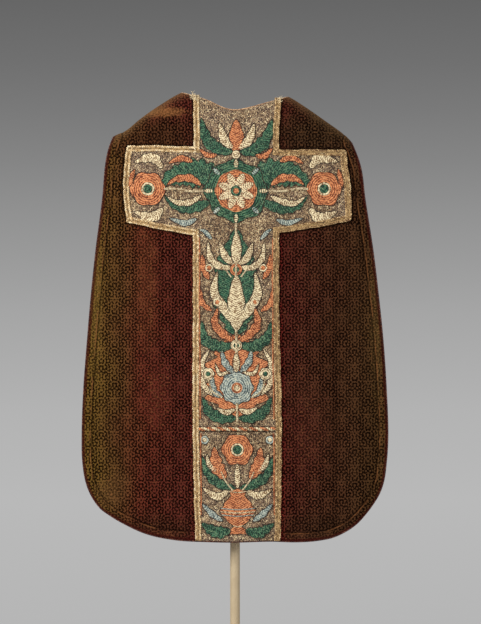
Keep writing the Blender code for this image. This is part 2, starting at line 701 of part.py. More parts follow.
def make_stand(collection, cutters):
    cylinder("base_plate", BASE_RADIUS, 0.0, BASE_THICKNESS, 64, "stand_paint", collection, BASE_EDGE)
    foot = BASE_THICKNESS + CLEARANCE
    collar = cylinder(
        "pole_collar", COLLAR_RADIUS, foot, foot + COLLAR_HEIGHT, 32, "stand_paint", collection
    )
    bore = cylinder(
        "collar_bore", POLE_RADIUS + CLEARANCE, foot - 0.01, foot + COLLAR_HEIGHT + 0.01, 32,
        "stand_paint", cutters,
    )
    bore.hide_render = True
    bore.display_type = "WIRE"
    cut = collar.modifiers.new("bore", "BOOLEAN")
    cut.operation = "DIFFERENCE"
    cut.object = bore
    flange_low = FORM_BOTTOM - CLEARANCE - FLANGE_THICKNESS
    cylinder("pole", POLE_RADIUS, foot, flange_low - CLEARANCE, 32, "stand_paint", collection)
    cylinder(
        "form_flange", FLANGE_RADIUS, flange_low, FORM_BOTTOM - CLEARANCE, 32, "stand_paint", collection
    )
    make_form(collection)


def main():
    for obj in list(bpy.data.objects):
        bpy.data.objects.remove(obj)
    collection = bpy.data.collections.new("chasuble_on_stand")
    cutters = bpy.data.collections.new("cutters")
    bpy.context.scene.collection.children.link(collection)
    bpy.context.scene.collection.children.link(cutters)
    back = make_back_grid()
    front = make_front_grid()
    make_velvet(back, front, collection)
    make_orphrey(back, collection)
    make_galloon(back, collection)
    make_piping(back, front, collection)
    make_stand(collection, cutters)


main()
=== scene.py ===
import json
import math
import random

import bmesh
import bpy
import numpy as np
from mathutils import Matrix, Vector

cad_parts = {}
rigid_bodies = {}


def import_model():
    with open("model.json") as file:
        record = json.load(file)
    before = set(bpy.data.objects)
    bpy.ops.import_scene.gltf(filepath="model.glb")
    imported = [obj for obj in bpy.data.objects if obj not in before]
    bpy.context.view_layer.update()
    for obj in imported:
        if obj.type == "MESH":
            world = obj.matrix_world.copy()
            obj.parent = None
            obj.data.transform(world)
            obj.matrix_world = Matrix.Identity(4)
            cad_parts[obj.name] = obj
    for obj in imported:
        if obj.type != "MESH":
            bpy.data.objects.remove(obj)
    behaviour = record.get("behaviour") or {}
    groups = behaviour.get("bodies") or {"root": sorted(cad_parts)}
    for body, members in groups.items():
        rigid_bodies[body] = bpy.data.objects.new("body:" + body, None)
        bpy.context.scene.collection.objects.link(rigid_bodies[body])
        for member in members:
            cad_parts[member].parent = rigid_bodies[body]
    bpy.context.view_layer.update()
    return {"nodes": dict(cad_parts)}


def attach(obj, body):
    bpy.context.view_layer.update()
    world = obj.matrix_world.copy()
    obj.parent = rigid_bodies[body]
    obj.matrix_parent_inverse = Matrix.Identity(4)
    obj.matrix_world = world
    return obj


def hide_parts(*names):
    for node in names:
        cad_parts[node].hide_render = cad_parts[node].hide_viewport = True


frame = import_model()
print("frame loaded")

# The garment's outline in metres, seen from the back: x to the right, heights above the floor.
# Neckline, ridge and hem rows are (x, height). Edge rows are (height, reach).
cut = {
    "ridge": [
        (-0.299, 1.4310), (-0.268, 1.4460), (-0.239, 1.4700), (-0.194, 1.5025), (-0.150, 1.5300),
        (-0.133, 1.5385), (-0.100, 1.5470), (0.000, 1.5480), (0.100, 1.5380), (0.133, 1.5285),
        (0.165, 1.5090), (0.224, 1.4680), (0.268, 1.4360), (0.286, 1.4185),
    ],
    "neckReach": 0.133,
    "backNeckline": [
        (-0.133, 1.5385), (-0.102, 1.5285), (-0.065, 1.5155), (-0.028, 1.4975), (0.000, 1.4925),
        (0.030, 1.4970), (0.070, 1.5085), (0.108, 1.5200), (0.133, 1.5285),
    ],
    "frontNeckline": [
        (-0.133, 1.5385), (-0.118, 1.4980), (-0.096, 1.4520), (-0.062, 1.4120), (0.000, 1.3920),
        (0.062, 1.4080), (0.096, 1.4460), (0.118, 1.4900), (0.133, 1.5285),
    ],
    "backLeftEdge": [
        (0.514, 0.331), (0.541, 0.350), (0.575, 0.3645), (0.629, 0.3735), (0.690, 0.3750), (0.806, 0.3710),
        (0.925, 0.3620), (1.042, 0.3520), (1.160, 0.3395), (1.279, 0.3240), (1.367, 0.3160), (1.402, 0.3085),
        (1.431, 0.2990),
    ],
    "backRightEdge": [
        (0.514, 0.332), (0.541, 0.350), (0.575, 0.3635), (0.629, 0.3715), (0.690, 0.3750), (0.806, 0.3710),
        (0.925, 0.3630), (1.042, 0.3510), (1.160, 0.3365), (1.279, 0.3180), (1.350, 0.3090), (1.390, 0.2970),
        (1.4185, 0.2860),
    ],
    "backHem": [
        (-0.331, 0.5140), (-0.284, 0.4850), (-0.221, 0.4560), (-0.150, 0.4410), (-0.060, 0.4360),
        (0.000, 0.4350), (0.090, 0.4370), (0.150, 0.4350), (0.202, 0.4380), (0.248, 0.4480),
        (0.300, 0.4790), (0.332, 0.5140),
    ],
    "frontLeftEdge": [
        (0.520, 0.272), (0.570, 0.290), (0.650, 0.296), (0.800, 0.285), (0.950, 0.265), (1.080, 0.246),
        (1.200, 0.240), (1.300, 0.250), (1.380, 0.276), (1.431, 0.299),
    ],
    "frontRightEdge": [
        (0.520, 0.272), (0.570, 0.290), (0.650, 0.296), (0.800, 0.285), (0.950, 0.265), (1.080, 0.246),
        (1.200, 0.239), (1.300, 0.246), (1.375, 0.266), (1.4185, 0.286),
    ],
    "frontHem": [
        (-0.272, 0.5200), (-0.220, 0.4840), (-0.130, 0.4580), (0.000, 0.4520), (0.130, 0.4580),
        (0.220, 0.4840), (0.272, 0.5200),
    ],
    # the cross over its edging: (height, left x, right x) and (x, height)
    "column": [
        (0.4350, -0.0965, 0.1110), (0.5200, -0.0995, 0.1130), (0.7740, -0.1036, 0.1135),
        (0.9750, -0.1028, 0.1085), (1.1900, -0.1026, 0.1080), (1.4040, -0.1012, 0.1070),
        (1.5400, -0.1026, 0.1140),
    ],
    "armEnds": [
        (0.4350, -0.2660, 0.2760), (1.1000, -0.2640, 0.2860), (1.2200, -0.2650, 0.2850),
        (1.2700, -0.2735, 0.2860), (1.3600, -0.2725, 0.2765), (1.4050, -0.2650, 0.2710),
        (1.5400, -0.2600, 0.2680),
    ],
    "armTop": [
        (-0.330, 1.4000), (-0.265, 1.4065), (-0.102, 1.4035), (0.107, 1.3965), (0.271, 1.3950), (0.330, 1.3860),
    ],
    "armBottom": [
        (-0.350, 1.2250), (-0.265, 1.2172), (-0.180, 1.2000), (-0.102, 1.1875), (0.003, 1.1885),
        (0.108, 1.1925), (0.222, 1.2095), (0.285, 1.2220), (0.350, 1.2300),
    ],
    "bandTop": 0.7160,
    "bandHeight": 0.010,
}

# How the cloth hangs: (height, outward) rows, and folds as
# (top x, top height, low x, low height, spread, swell)
hang = {
    "depthAtNeck": 0.058, "depthAtShoulder": 0.040,
    "crownAtNeck": 0.050, "crownAtShoulder": 0.032,
    "sideSetback": 0.015,
    "backSwing": [
        (0.430, 0.008), (0.600, 0.004), (0.850, 0.007), (1.100, 0.010), (1.300, 0.006), (1.450, 0.0), (1.560, 0.0),
    ],
    "frontSwing": [
        (0.430, 0.010), (0.600, 0.004), (0.850, 0.003), (1.100, 0.008), (1.250, 0.009), (1.450, 0.0), (1.560, 0.0),
    ],
    "backFolds": [
        (-0.280, 1.425, -0.312, 1.020, 0.019, 0.0080),
        (-0.215, 1.400, -0.235, 0.330, 0.048, 0.0075),
        (-0.128, 1.390, -0.122, 0.480, 0.020, -0.0045),
        (-0.320, 0.960, -0.300, 0.300, 0.034, 0.0080),
        (-0.272, 1.080, -0.268, 0.420, 0.022, -0.0050),
        (0.272, 1.410, 0.302, 1.080, 0.019, 0.0080),
        (0.205, 1.360, 0.218, 0.330, 0.044, 0.0070),
        (0.132, 1.390, 0.136, 0.520, 0.018, -0.0040),
        (0.318, 1.040, 0.296, 0.300, 0.036, 0.0090),
        (0.262, 0.980, 0.258, 0.400, 0.020, -0.0045),
    ],
    "frontFolds": [
        (-0.150, 1.470, -0.165, 0.330, 0.034, 0.0090),
        (-0.092, 1.330, -0.085, 0.480, 0.026, -0.0065),
        (-0.020, 1.240, -0.012, 0.300, 0.036, 0.0060),
        (0.078, 1.370, 0.070, 0.400, 0.024, -0.0070),
        (0.148, 1.450, 0.160, 0.300, 0.036, 0.0100),
        (-0.225, 1.360, -0.240, 0.560, 0.020, 0.0060),
        (0.222, 1.340, 0.236, 0.640, 0.020, 0.0060),
    ],
    # small creases, listed one by one
    "backCreases": [
        (-0.292, 1.418, -0.309, 1.290, 0.0060, -0.0022),
        (-0.262, 1.452, -0.300, 1.372, 0.0070, -0.0018),
        (-0.232, 1.474, -0.160, 1.432, 0.0090, 0.0014),
        (-0.205, 1.492, -0.128, 1.418, 0.0080, -0.0012),
        (-0.300, 1.215, -0.322, 1.010, 0.0080, 0.0014),
        (-0.335, 0.930, -0.352, 0.700, 0.0100, -0.0020),
        (-0.182, 1.130, -0.172, 0.905, 0.0100, 0.0012),
        (-0.150, 0.930, -0.158, 0.640, 0.0080, -0.0011),
        (-0.238, 0.720, -0.205, 0.500, 0.0120, 0.0016),
        (-0.302, 0.640, -0.250, 0.490, 0.0090, -0.0013),
        (0.286, 1.402, 0.306, 1.262, 0.0060, -0.0022),
        (0.246, 1.446, 0.292, 1.352, 0.0070, -0.0016),
        (0.180, 1.492, 0.232, 1.420, 0.0090, 0.0015),
        (0.152, 1.500, 0.134, 1.424, 0.0080, -0.0012),
        (0.306, 1.190, 0.336, 0.960, 0.0090, 0.0014),
        (0.345, 0.900, 0.350, 0.660, 0.0110, -0.0018),
        (0.165, 1.150, 0.172, 0.860, 0.0090, 0.0012),
        (0.188, 0.820, 0.160, 0.540, 0.0100, -0.0012),
        (0.252, 0.700, 0.272, 0.490, 0.0110, 0.0015),
        (0.322, 0.620, 0.280, 0.500, 0.0080, -0.0012),
        (-0.060, 1.130, -0.052, 0.760, 0.0180, 0.0010),
        (0.048, 1.180, 0.056, 0.820, 0.0160, -0.0009),
    ],
    "frontCreases": [
        (-0.262, 1.446, -0.232, 1.330, 0.0070, -0.0018),
        (-0.178, 1.490, -0.128, 1.330, 0.0090, 0.0016),
        (-0.120, 1.420, -0.060, 1.290, 0.0080, -0.0012),
        (-0.205, 1.180, -0.220, 0.880, 0.0100, 0.0018),
        (-0.110, 1.060, -0.130, 0.700, 0.0110, -0.0016),
        (-0.035, 0.980, -0.030, 0.560, 0.0120, 0.0013),
        (-0.255, 0.760, -0.250, 0.540, 0.0090, -0.0014),
        (0.255, 1.436, 0.226, 1.318, 0.0070, -0.0018),
        (0.182, 1.480, 0.130, 1.350, 0.0090, 0.0015),
        (0.116, 1.400, 0.050, 1.260, 0.0090, -0.0013),
        (0.208, 1.200, 0.226, 0.930, 0.0100, 0.0017),
        (0.118, 1.080, 0.104, 0.690, 0.0110, -0.0015),
        (0.042, 1.020, 0.036, 0.640, 0.0120, 0.0012),
        (0.252, 0.740, 0.244, 0.520, 0.0090, -0.0014),
    ],
}


def smooth(rows, where, column=1):  # a table's column, read along its first column
    table = np.array(sorted(rows))
    places, values = table[:, 0], table[:, column]
    slopes = np.diff(values) / np.diff(places)
    tangents = np.concatenate(([slopes[0]], (slopes[:-1] + slopes[1:]) / 2, [slopes[-1]]))
    where = np.asarray(where, float)
    k = np.clip(np.searchsorted(places, where, side="right") - 1, 0, len(slopes) - 1)
    step = places[k + 1] - places[k]
    t = (where - places[k]) / step
    inside = (
        values[k] * (2 * t**3 - 3 * t**2 + 1) + values[k + 1] * (3 * t**2 - 2 * t**3)
        + tangents[k] * step * (t**3 - 2 * t**2 + t) + tangents[k + 1] * step * (t**3 - t**2)
    )
    below = values[0] + slopes[0] * (where - places[0])
    above = values[-1] + slopes[-1] * (where - places[-1])
    return np.where(where < places[0], below, np.where(where > places[-1], above, inside))


def ease(value):
    t = np.clip(value, 0, 1)
    return t * t * (3 - 2 * t)


def mix(a, b, share):
    return a + (b - a) * share


def foldSwell(folds, x, z, fadeIn, fadeOut):
    total = np.zeros(np.broadcast(x, z).shape)
    for topX, topZ, lowX, lowZ, spread, swell in folds:
        down = (topZ - z) / (topZ - lowZ)
        centre = mix(topX, lowX, down)
        fade = ease(down / fadeIn) * ease((1 - down) / fadeOut) * ((down > 0) & (down < 1))
        total = total + swell * fade * np.exp(-(((x - centre) / spread) ** 2))
    return total


def clothDepth(side, x, z):  # from the plane of the pole to a panel's outer face
    drop = np.maximum(smooth(cut["ridge"], x) - z, 0)
    share = np.clip((np.abs(x) - 0.130) / 0.170, 0, 1)
    crown = mix(hang["crownAtNeck"], hang["crownAtShoulder"], share)
    half = mix(hang["depthAtNeck"], hang["depthAtShoulder"], np.minimum(1.25, (np.abs(x) / 0.300) ** 2))
    turn = np.where(drop >= crown, 1.0, np.sqrt(np.maximum(0, 1 - (1 - np.minimum(drop / crown, 1)) ** 2)))
    swing = smooth(hang[side + "Swing"], z) * ease(drop / 0.12) * (1 - (x / 0.42) ** 2)
    setback = hang["sideSetback"] * ease(drop / 0.350) * (np.abs(x) / 0.375) ** 3
    folds = foldSwell(hang[side + "Folds"], x, z, 0.25, 0.2) * ease(drop / 0.08)
    creases = foldSwell(hang[side + "Creases"], x, z, 0.35, 0.4) * ease(drop / 0.03)
    return half * turn + swing - setback + folds + creases


def onCloth(side, x, z, lift=0.0):  # points at a distance out from a panel's outer face
    x, z, lift = np.broadcast_arrays(np.asarray(x, float), np.asarray(z, float), np.asarray(lift, float))
    out = -1.0 if side == "back" else 1.0
    step = 0.0003
    low = np.minimum(z, smooth(cut["ridge"], x) - 1.6 * step)
    slopeX = (clothDepth(side, x + step, low) - clothDepth(side, x - step, low)) / (2 * step)
    slopeZ = (clothDepth(side, x, low + step) - clothDepth(side, x, low - step)) / (2 * step)
    normal = np.stack([-slopeX, np.full_like(x, out), -slopeZ], axis=-1)
    normal /= np.linalg.norm(normal, axis=-1, keepdims=True)
    place = np.stack([x, out * (clothDepth(side, x, z) + 0.00015), z], axis=-1)
    return place + normal * lift[..., None]


def topLine(side, x):
    inNeck = np.abs(x) < cut["neckReach"]
    return np.where(inNeck, smooth(cut[side + "Neckline"], x), smooth(cut["ridge"], x))


def srgb(*values):
    return tuple(((v / 255 + 0.055) / 1.055) ** 2.4 if v > 10 else v / 3294.6 for v in values) + (1.0,)


# Mesh making


def newHeap():
    return {"points": [], "faces": [], "uvs": [], "finish": [], "count": 0, "outlines": []}


def addToHeap(heap, points, faces, uvs, finish):
    heap["points"].append(np.asarray(points, float).reshape(-1, 3))
    heap["uvs"].append(np.asarray(uvs, float).reshape(-1, 2))
    start = heap["count"]
    heap["faces"] += [tuple(start + k for k in face) for face in faces]
    heap["finish"] += [finish] * len(faces)
    heap["count"] += len(heap["points"][-1])


def heapToObject(name, heap, materials, uvName="cloth", recalculate=True, smoothAngle=60):
    data = bpy.data.meshes.new(name)
    points = np.concatenate(heap["points"])
    data.from_pydata(points.tolist(), [], heap["faces"])
    uvs = np.concatenate(heap["uvs"])
    layer = data.uv_layers.new(name=uvName)
    corners = np.zeros(len(data.loops), dtype=np.int32)
    data.loops.foreach_get("vertex_index", corners)
    layer.data.foreach_set("uv", uvs[corners].astype(np.float32).ravel())
    for made in materials:
        data.materials.append(made)
    data.polygons.foreach_set("material_index", np.array(heap["finish"], dtype=np.int32))
    if recalculate:
        mesh = bmesh.new()
        mesh.from_mesh(data)
        bmesh.ops.recalc_face_normals(mesh, faces=mesh.faces)
        mesh.to_mesh(data)
        mesh.free()
    data.shade_smooth()
    data.set_sharp_from_angle(angle=math.radians(smoothAngle))
    data.update()
    obj = bpy.data.objects.new(name, data)
    bpy.context.scene.collection.objects.link(obj)
    return obj


def gridFaces(rows, columns, start=0, flip=False):
    faces = []
    for i in range(rows - 1):
        for j in range(columns - 1):
            a = start + i * columns + j
            face = (a, a + 1, a + columns + 1, a + columns)
            faces.append(face[::-1] if flip else face)
    return faces


def shell(name, side, x, z, outerLift, innerLift, uv, materials, bulge=0.0006, uvName="cloth"):
    rows, columns = x.shape
    outer = onCloth(side, x, z, outerLift)
    inner = onCloth(side, x, z, innerLift)
    flip = side == "front"
    rim = [(0, j) for j in range(columns)] + [(i, columns - 1) for i in range(1, rows)]
    rim += [(rows - 1, j) for j in range(columns - 2, -1, -1)] + [(i, 0) for i in range(rows - 2, 0, -1)]
    middle = []
    for i, j in rim:
        inwards = outer[min(max(i, 1), rows - 2), min(max(j, 1), columns - 2)]
        away = outer[i, j] - inwards
        away /= max(1e-9, np.linalg.norm(away))
        middle.append((outer[i, j] + inner[i, j]) / 2 + away * bulge)
    heap = newHeap()
    faces = gridFaces(rows, columns, 0, not flip)
    split = len(faces)
    size = rows * columns
    faces += gridFaces(rows, columns, size, flip)
    count = len(rim)
    for k in range(count):
        a, b = rim[k], rim[(k + 1) % count]
        ia, ib = a[0] * columns + a[1], b[0] * columns + b[1]
        ma, mb = 2 * size + k, 2 * size + (k + 1) % count
        for face in ((ia, ib, mb, ma), (ma, mb, size + ib, size + ia)):
            faces.append(face if not flip else face[::-1])
    rimUv = [uv[i, j] for i, j in rim]
    points = np.concatenate([outer.reshape(-1, 3), inner.reshape(-1, 3), np.array(middle)])
    uvs = np.concatenate([uv.reshape(-1, 2), uv.reshape(-1, 2), np.array(rimUv)])
    addToHeap(heap, points, faces, uvs, 0)
    if len(materials) > 1:
        heap["finish"] = [0] * split + [1] * split + [0] * (len(faces) - 2 * split)
    return heapToObject(name, heap, materials, uvName, recalculate=True)


def densify(path, step):  # a polyline with points at about even steps, its corners kept
    path = np.asarray(path, float)
    points = [path[0]]
    for a, b in zip(path[:-1], path[1:]):
        count = max(1, int(round(np.linalg.norm(b - a) / step)))
        points += [mix(a, b, k / count) for k in range(1, count + 1)]
    return np.array(points)


def curvePath(points, step=0.003):  # a smooth path through a few points
    points = np.asarray(points, float)
    ends = np.vstack([2 * points[0] - points[1], points, 2 * points[-1] - points[-2]])
    path = []
    for k in range(1, len(ends) - 2):
        p0, p1, p2, p3 = ends[k - 1], ends[k], ends[k + 1], ends[k + 2]
        count = max(2, int(np.linalg.norm(p2 - p1) / step))
        for t in np.linspace(0, 1, count, endpoint=False):
            path.append(
                0.5 * (2 * p1 + (p2 - p0) * t + (2 * p0 - 5 * p1 + 4 * p2 - p3) * t**2
                       + (3 * p1 - p0 - 3 * p2 + p3) * t**3)
            )
    path.append(points[-1])
    return np.array(path)


def pathFrame(path, closed=False):  # across directions with mitred corners, and length so far
    step = np.diff(path, axis=0)
    if closed:
        step = np.vstack([step, path[0] - path[-1]])
    length = np.linalg.norm(step, axis=1)
    normal = np.stack([-step[:, 1], step[:, 0]], axis=1) / np.maximum(length, 1e-9)[:, None]
    before = np.roll(normal, 1, axis=0) if closed else np.vstack([normal[:1], normal])
    after = normal if closed else np.vstack([normal, normal[-1:]])
    dot = np.clip((before * after).sum(axis=1), -0.6, 1)
    across = (before + after) / (1 + dot)[:, None]
    sofar = np.concatenate([[0], np.cumsum(length)])[: len(path)]
    return across, sofar


def sweep(heap, path, across, lift, finish, side="back", closed=False, uvMode="along"):
    # across and lift: one closed section for each path point, in metres
    direction, sofar = pathFrame(path, closed)
    n, m = across.shape
    x = path[:, 0:1] + direction[:, 0:1] * across
    z = path[:, 1:2] + direction[:, 1:2] * across
    points = onCloth(side, x, z, lift)
    faces = []
    for i in range(n if closed else n - 1):
        for j in range(m):
            a, b = i * m + j, i * m + (j + 1) % m
            c, d = ((i + 1) % n) * m + (j + 1) % m, ((i + 1) % n) * m + j
            faces.append((a, b, c, d))
    if not closed:
        faces.append(tuple(range(m - 1, -1, -1)))
        faces.append(tuple((n - 1) * m + j for j in range(m)))
    along = np.repeat(sofar[:, None], m, axis=1)
    uv = np.stack([across, along] if uvMode == "along" else [along, across], axis=-1)
    addToHeap(heap, points, faces, uv, finish)


def roundSection(count, radius, sides, base, squash=1.0):
    turn = np.linspace(0, 2 * np.pi, sides, endpoint=False)
    across = np.repeat((radius * np.cos(turn))[None], count, axis=0)
    lift = np.repeat((base + radius * squash * (1 + np.sin(turn)))[None], count, axis=0)
    return across, lift


def addCordLine(heap, path, radius, finish, base, sides=6, squash=0.9, closed=False, side="back"):
    across, lift = roundSection(len(path), radius, sides, base, squash)
    start = len(heap["uvs"])
    sweep(heap, path, across, lift, finish, side, closed)
    heap["uvs"][start][:, 1] = heap["uvs"][start][:, 1] * 1.2 + heap["uvs"][start][:, 0] * 1.6


# Shader groups


def addNode(tree, kind, values=None, **settings):
    node = tree.nodes.new(kind)
    for key, value in settings.items():
        setattr(node, key, value)
    for key, value in (values or {}).items():
        if isinstance(value, bpy.types.NodeSocket):
            tree.links.new(value, node.inputs[key])
        else:
            node.inputs[key].default_value = value
    return node


def calc(tree, operation, *values, clamp=False):
    return addNode(
        tree, "ShaderNodeMath", dict(enumerate(values)), operation=operation, use_clamp=clamp
    ).outputs[0]


def blendColour(tree, factor, a, b, kind="MIX"):
    node = addNode(tree, "ShaderNodeMix", data_type="RGBA", blend_type=kind, clamp_factor=True)
    for index, value in ((0, factor), (6, a), (7, b)):
        if isinstance(value, bpy.types.NodeSocket):
            tree.links.new(value, node.inputs[index])
        else:
            node.inputs[index].default_value = value
    return node.outputs[2]


def rangeOf(tree, value, low, high, to=(0.0, 1.0)):
    return addNode(
        tree, "ShaderNodeMapRange", {0: value, 1: low, 2: high, 3: to[0], 4: to[1]}, interpolation_type="SMOOTHSTEP"
    ).outputs[0]


def noiseOf(tree, vector, scale, detail=2.0, roughness=0.5):
    return addNode(
        tree, "ShaderNodeTexNoise",
        {"Vector": vector, "Scale": scale, "Detail": detail, "Roughness": roughness},
    ).outputs[0]


def rampOf(tree, value, stops):
    node = addNode(tree, "ShaderNodeValToRGB", {0: value})
    while len(node.color_ramp.elements) > 1:
        node.color_ramp.elements.remove(node.color_ramp.elements[-1])
    node.color_ramp.elements[0].position = stops[0][0]
    node.color_ramp.elements[0].color = stops[0][1]
    for position, colour in stops[1:]:
        node.color_ramp.elements.new(position).color = colour
    return node.outputs[0]


def newGroup(name, inputs, outputs):
    tree = bpy.data.node_groups.new(name, "ShaderNodeTree")
    for label, kind, value in inputs:
        socket = tree.interface.new_socket(name=label, in_out="INPUT", socket_type=kind)
        if value is not None:
            socket.default_value = value
    for label, kind in outputs:
        tree.interface.new_socket(name=label, in_out="OUTPUT", socket_type=kind)
    return tree, tree.nodes.new("NodeGroupInput").outputs, tree.nodes.new("NodeGroupOutput").inputs


def useGroup(tree, group, values):
    node = tree.nodes.new("ShaderNodeGroup")
    node.node_tree = group
    for key, value in values.items():
        if isinstance(value, bpy.types.NodeSocket):
            tree.links.new(value, node.inputs[key])
        else:
            node.inputs[key].default_value = value
    return node.outputs


def splitVector(tree, vector):
    node = addNode(tree, "ShaderNodeSeparateXYZ", {0: vector})
    return node.outputs[0], node.outputs[1], node.outputs[2]


def joinVector(tree, x, y, z=0.0):
    return addNode(tree, "ShaderNodeCombineXYZ", {0: x, 1: y, 2: z}).outputs[0]



def makeThreadRows():  # rows of laid thread, stacked along the map's second direction
    tree, given, result = newGroup(
        "threadRows",
        [("Vector", "NodeSocketVector", None), ("Row Pitch", "NodeSocketFloat", 0.0045),
         ("Waviness", "NodeSocketFloat", 0.001), ("Stitch Length", "NodeSocketFloat", 0.012)],
        [("Ridge", "NodeSocketFloat"), ("Fleck", "NodeSocketFloat"), ("Height", "NodeSocketFloat")],
    )
    u, v, _ = splitVector(tree, given["Vector"])
    drift = calc(tree, "SUBTRACT", noiseOf(tree, given["Vector"], 55, 2), 0.5)
    row = calc(tree, "DIVIDE", calc(tree, "MULTIPLY_ADD", drift, given["Waviness"], v), given["Row Pitch"])
    part = calc(tree, "FRACT", row)
    ridge = calc(tree, "SUBTRACT", 1.0, calc(tree, "ABSOLUTE", calc(tree, "MULTIPLY_ADD", part, 2.0, -1.0)))
    ridge = rangeOf(tree, ridge, 0.05, 0.75)
    offset = calc(tree, "MULTIPLY", calc(tree, "FLOOR", row), 0.37)
    tie = calc(tree, "FRACT", calc(tree, "ADD", calc(tree, "DIVIDE", u, given["Stitch Length"]), offset))
    tie = rangeOf(tree, calc(tree, "ABSOLUTE", calc(tree, "SUBTRACT", tie, 0.5)), 0.14, 0.04)
    ply = calc(tree, "SINE", calc(tree, "MULTIPLY", calc(tree, "ADD", u, v), 3900.0))
    cell = calc(tree, "FLOOR", calc(tree, "ADD", calc(tree, "DIVIDE", u, given["Stitch Length"]), offset))
    own = addNode(
        tree, "ShaderNodeTexWhiteNoise", {"Vector": joinVector(tree, cell, calc(tree, "FLOOR", row))}, noise_dimensions="2D"
    ).outputs["Value"]
    fleck = noiseOf(tree, joinVector(tree, calc(tree, "MULTIPLY", u, 260.0), calc(tree, "MULTIPLY", v, 900.0)), 1.0, 3, 0.7)
    fleck = calc(tree, "MULTIPLY_ADD", own, 0.45, calc(tree, "MULTIPLY", fleck, 0.55))
    height = calc(tree, "MULTIPLY_ADD", ply, 0.08, calc(tree, "SUBTRACT", ridge, calc(tree, "MULTIPLY", tie, 0.35)))
    for value, label in ((ridge, "Ridge"), (fleck, "Fleck"), (height, "Height")):
        tree.links.new(value, result[label])
    return tree


def makeCouchedGround():  # short runs of metal thread, turned from patch to patch
    tree, given, result = newGroup(
        "couchedGround",
        [("Vector", "NodeSocketVector", None), ("Patch Size", "NodeSocketFloat", 0.014),
         ("Pitch", "NodeSocketFloat", 0.0048)],
        [("Ridge", "NodeSocketFloat"), ("Fleck", "NodeSocketFloat"), ("Height", "NodeSocketFloat")],
    )
    u, v, _ = splitVector(tree, given["Vector"])
    patch = addNode(
        tree, "ShaderNodeTexVoronoi",
        {"Vector": given["Vector"], "Scale": calc(tree, "DIVIDE", 1.0, given["Patch Size"])}, voronoi_dimensions="2D",
    ).outputs["Color"]
    turn = calc(tree, "MULTIPLY", calc(tree, "FLOOR", calc(tree, "MULTIPLY", splitVector(tree, patch)[0], 4.0)), 0.7854)
    cosine, sine = calc(tree, "COSINE", turn), calc(tree, "SINE", turn)
    across = calc(tree, "ADD", calc(tree, "MULTIPLY", u, cosine), calc(tree, "MULTIPLY", v, sine))
    along = calc(tree, "SUBTRACT", calc(tree, "MULTIPLY", v, cosine), calc(tree, "MULTIPLY", u, sine))
    drift = calc(tree, "SUBTRACT", noiseOf(tree, given["Vector"], 110, 2), 0.5)
    row = calc(tree, "DIVIDE", calc(tree, "MULTIPLY_ADD", drift, 0.0016, across), given["Pitch"])
    ridge = calc(tree, "ABSOLUTE", calc(tree, "MULTIPLY_ADD", calc(tree, "FRACT", row), 2.0, -1.0))
    tie = calc(tree, "ADD", calc(tree, "DIVIDE", along, 0.0085), calc(tree, "MULTIPLY", calc(tree, "FLOOR", row), 0.5))
    tie = rangeOf(tree, calc(tree, "ABSOLUTE", calc(tree, "SUBTRACT", calc(tree, "FRACT", tie), 0.5)), 0.17, 0.04)
    ridge = calc(tree, "SUBTRACT", rangeOf(tree, ridge, 0.15, 0.8), calc(tree, "MULTIPLY", tie, 0.6), clamp=True)
    fleck = noiseOf(tree, given["Vector"], 420, 3, 0.7)
    ply = calc(tree, "SINE", calc(tree, "MULTIPLY", calc(tree, "ADD", across, along), 4200.0))
    height = calc(tree, "MULTIPLY_ADD", ply, 0.08, ridge)
    for value, label in ((ridge, "Ridge"), (fleck, "Fleck"), (height, "Height")):
        tree.links.new(value, result[label])
    return tree


# waves as (times across, times down, size, phase); the two counts are both odd or both even, which gives the half drop
sprigWaves = [
    (8, 0, 0.8, 0.0), (6, 6, 0.8, 0.8), (4, 8, 0.7, 2.1), (7, 5, 0.8, 3.9), (8, 4, 0.7, 1.2), (3, 9, 0.8, 5.2),
    (0, 10, 0.5, 0.4), (5, 7, 0.6, 0.3), (9, 3, 0.7, 2.2), (1, 1, 0.5, 0.0), (2, 0, 0.3, 0.0), (2, 12, 0.7, 1.0),
    (10, 6, 0.6, 2.5), (11, 1, 0.7, 4.4), (7, 11, 0.7, 0.9), (5, 11, 0.6, 3.0), (9, 9, 0.5, 5.0),
]


def makeSmallRepeat():  # small symmetrical sprigs in half drop, from a few crossed waves
    tree, given, result = newGroup(
        "smallRepeat",
        [("Vector", "NodeSocketVector", None), ("Repeat Width", "NodeSocketFloat", 0.0656),
         ("Repeat Height", "NodeSocketFloat", 0.0820), ("Break", "NodeSocketFloat", 4.5)],
        [("Mask", "NodeSocketFloat")],
    )
    drift = addNode(tree, "ShaderNodeTexNoise", {"Vector": given["Vector"], "Scale": 40.0, "Detail": 1.0}).outputs[1]
    vector = addNode(
        tree, "ShaderNodeVectorMath", {0: drift, 1: (0.0020, 0.0020, 0.0), 2: given["Vector"]}, operation="MULTIPLY_ADD"
    ).outputs[0]
    u, v, _ = splitVector(tree, vector)
    across = calc(tree, "MULTIPLY", calc(tree, "DIVIDE", u, given["Repeat Width"]), 2 * math.pi)
    down = calc(tree, "MULTIPLY", calc(tree, "DIVIDE", v, given["Repeat Height"]), 2 * math.pi)
    broken = calc(tree, "SUBTRACT", noiseOf(tree, given["Vector"], 300, 2, 0.7), 0.5)
    total = calc(tree, "MULTIPLY", broken, given["Break"])
    for timesAcross, timesDown, size, phase in sprigWaves:
        wave = calc(tree, "MULTIPLY", calc(tree, "COSINE", calc(tree, "MULTIPLY", across, float(timesAcross))),
                    calc(tree, "COSINE", calc(tree, "MULTIPLY_ADD", down, float(timesDown), phase)))
        total = calc(tree, "MULTIPLY_ADD", wave, size, total)
    tree.links.new(rangeOf(tree, total, 0.62, -0.20), result["Mask"])
    return tree


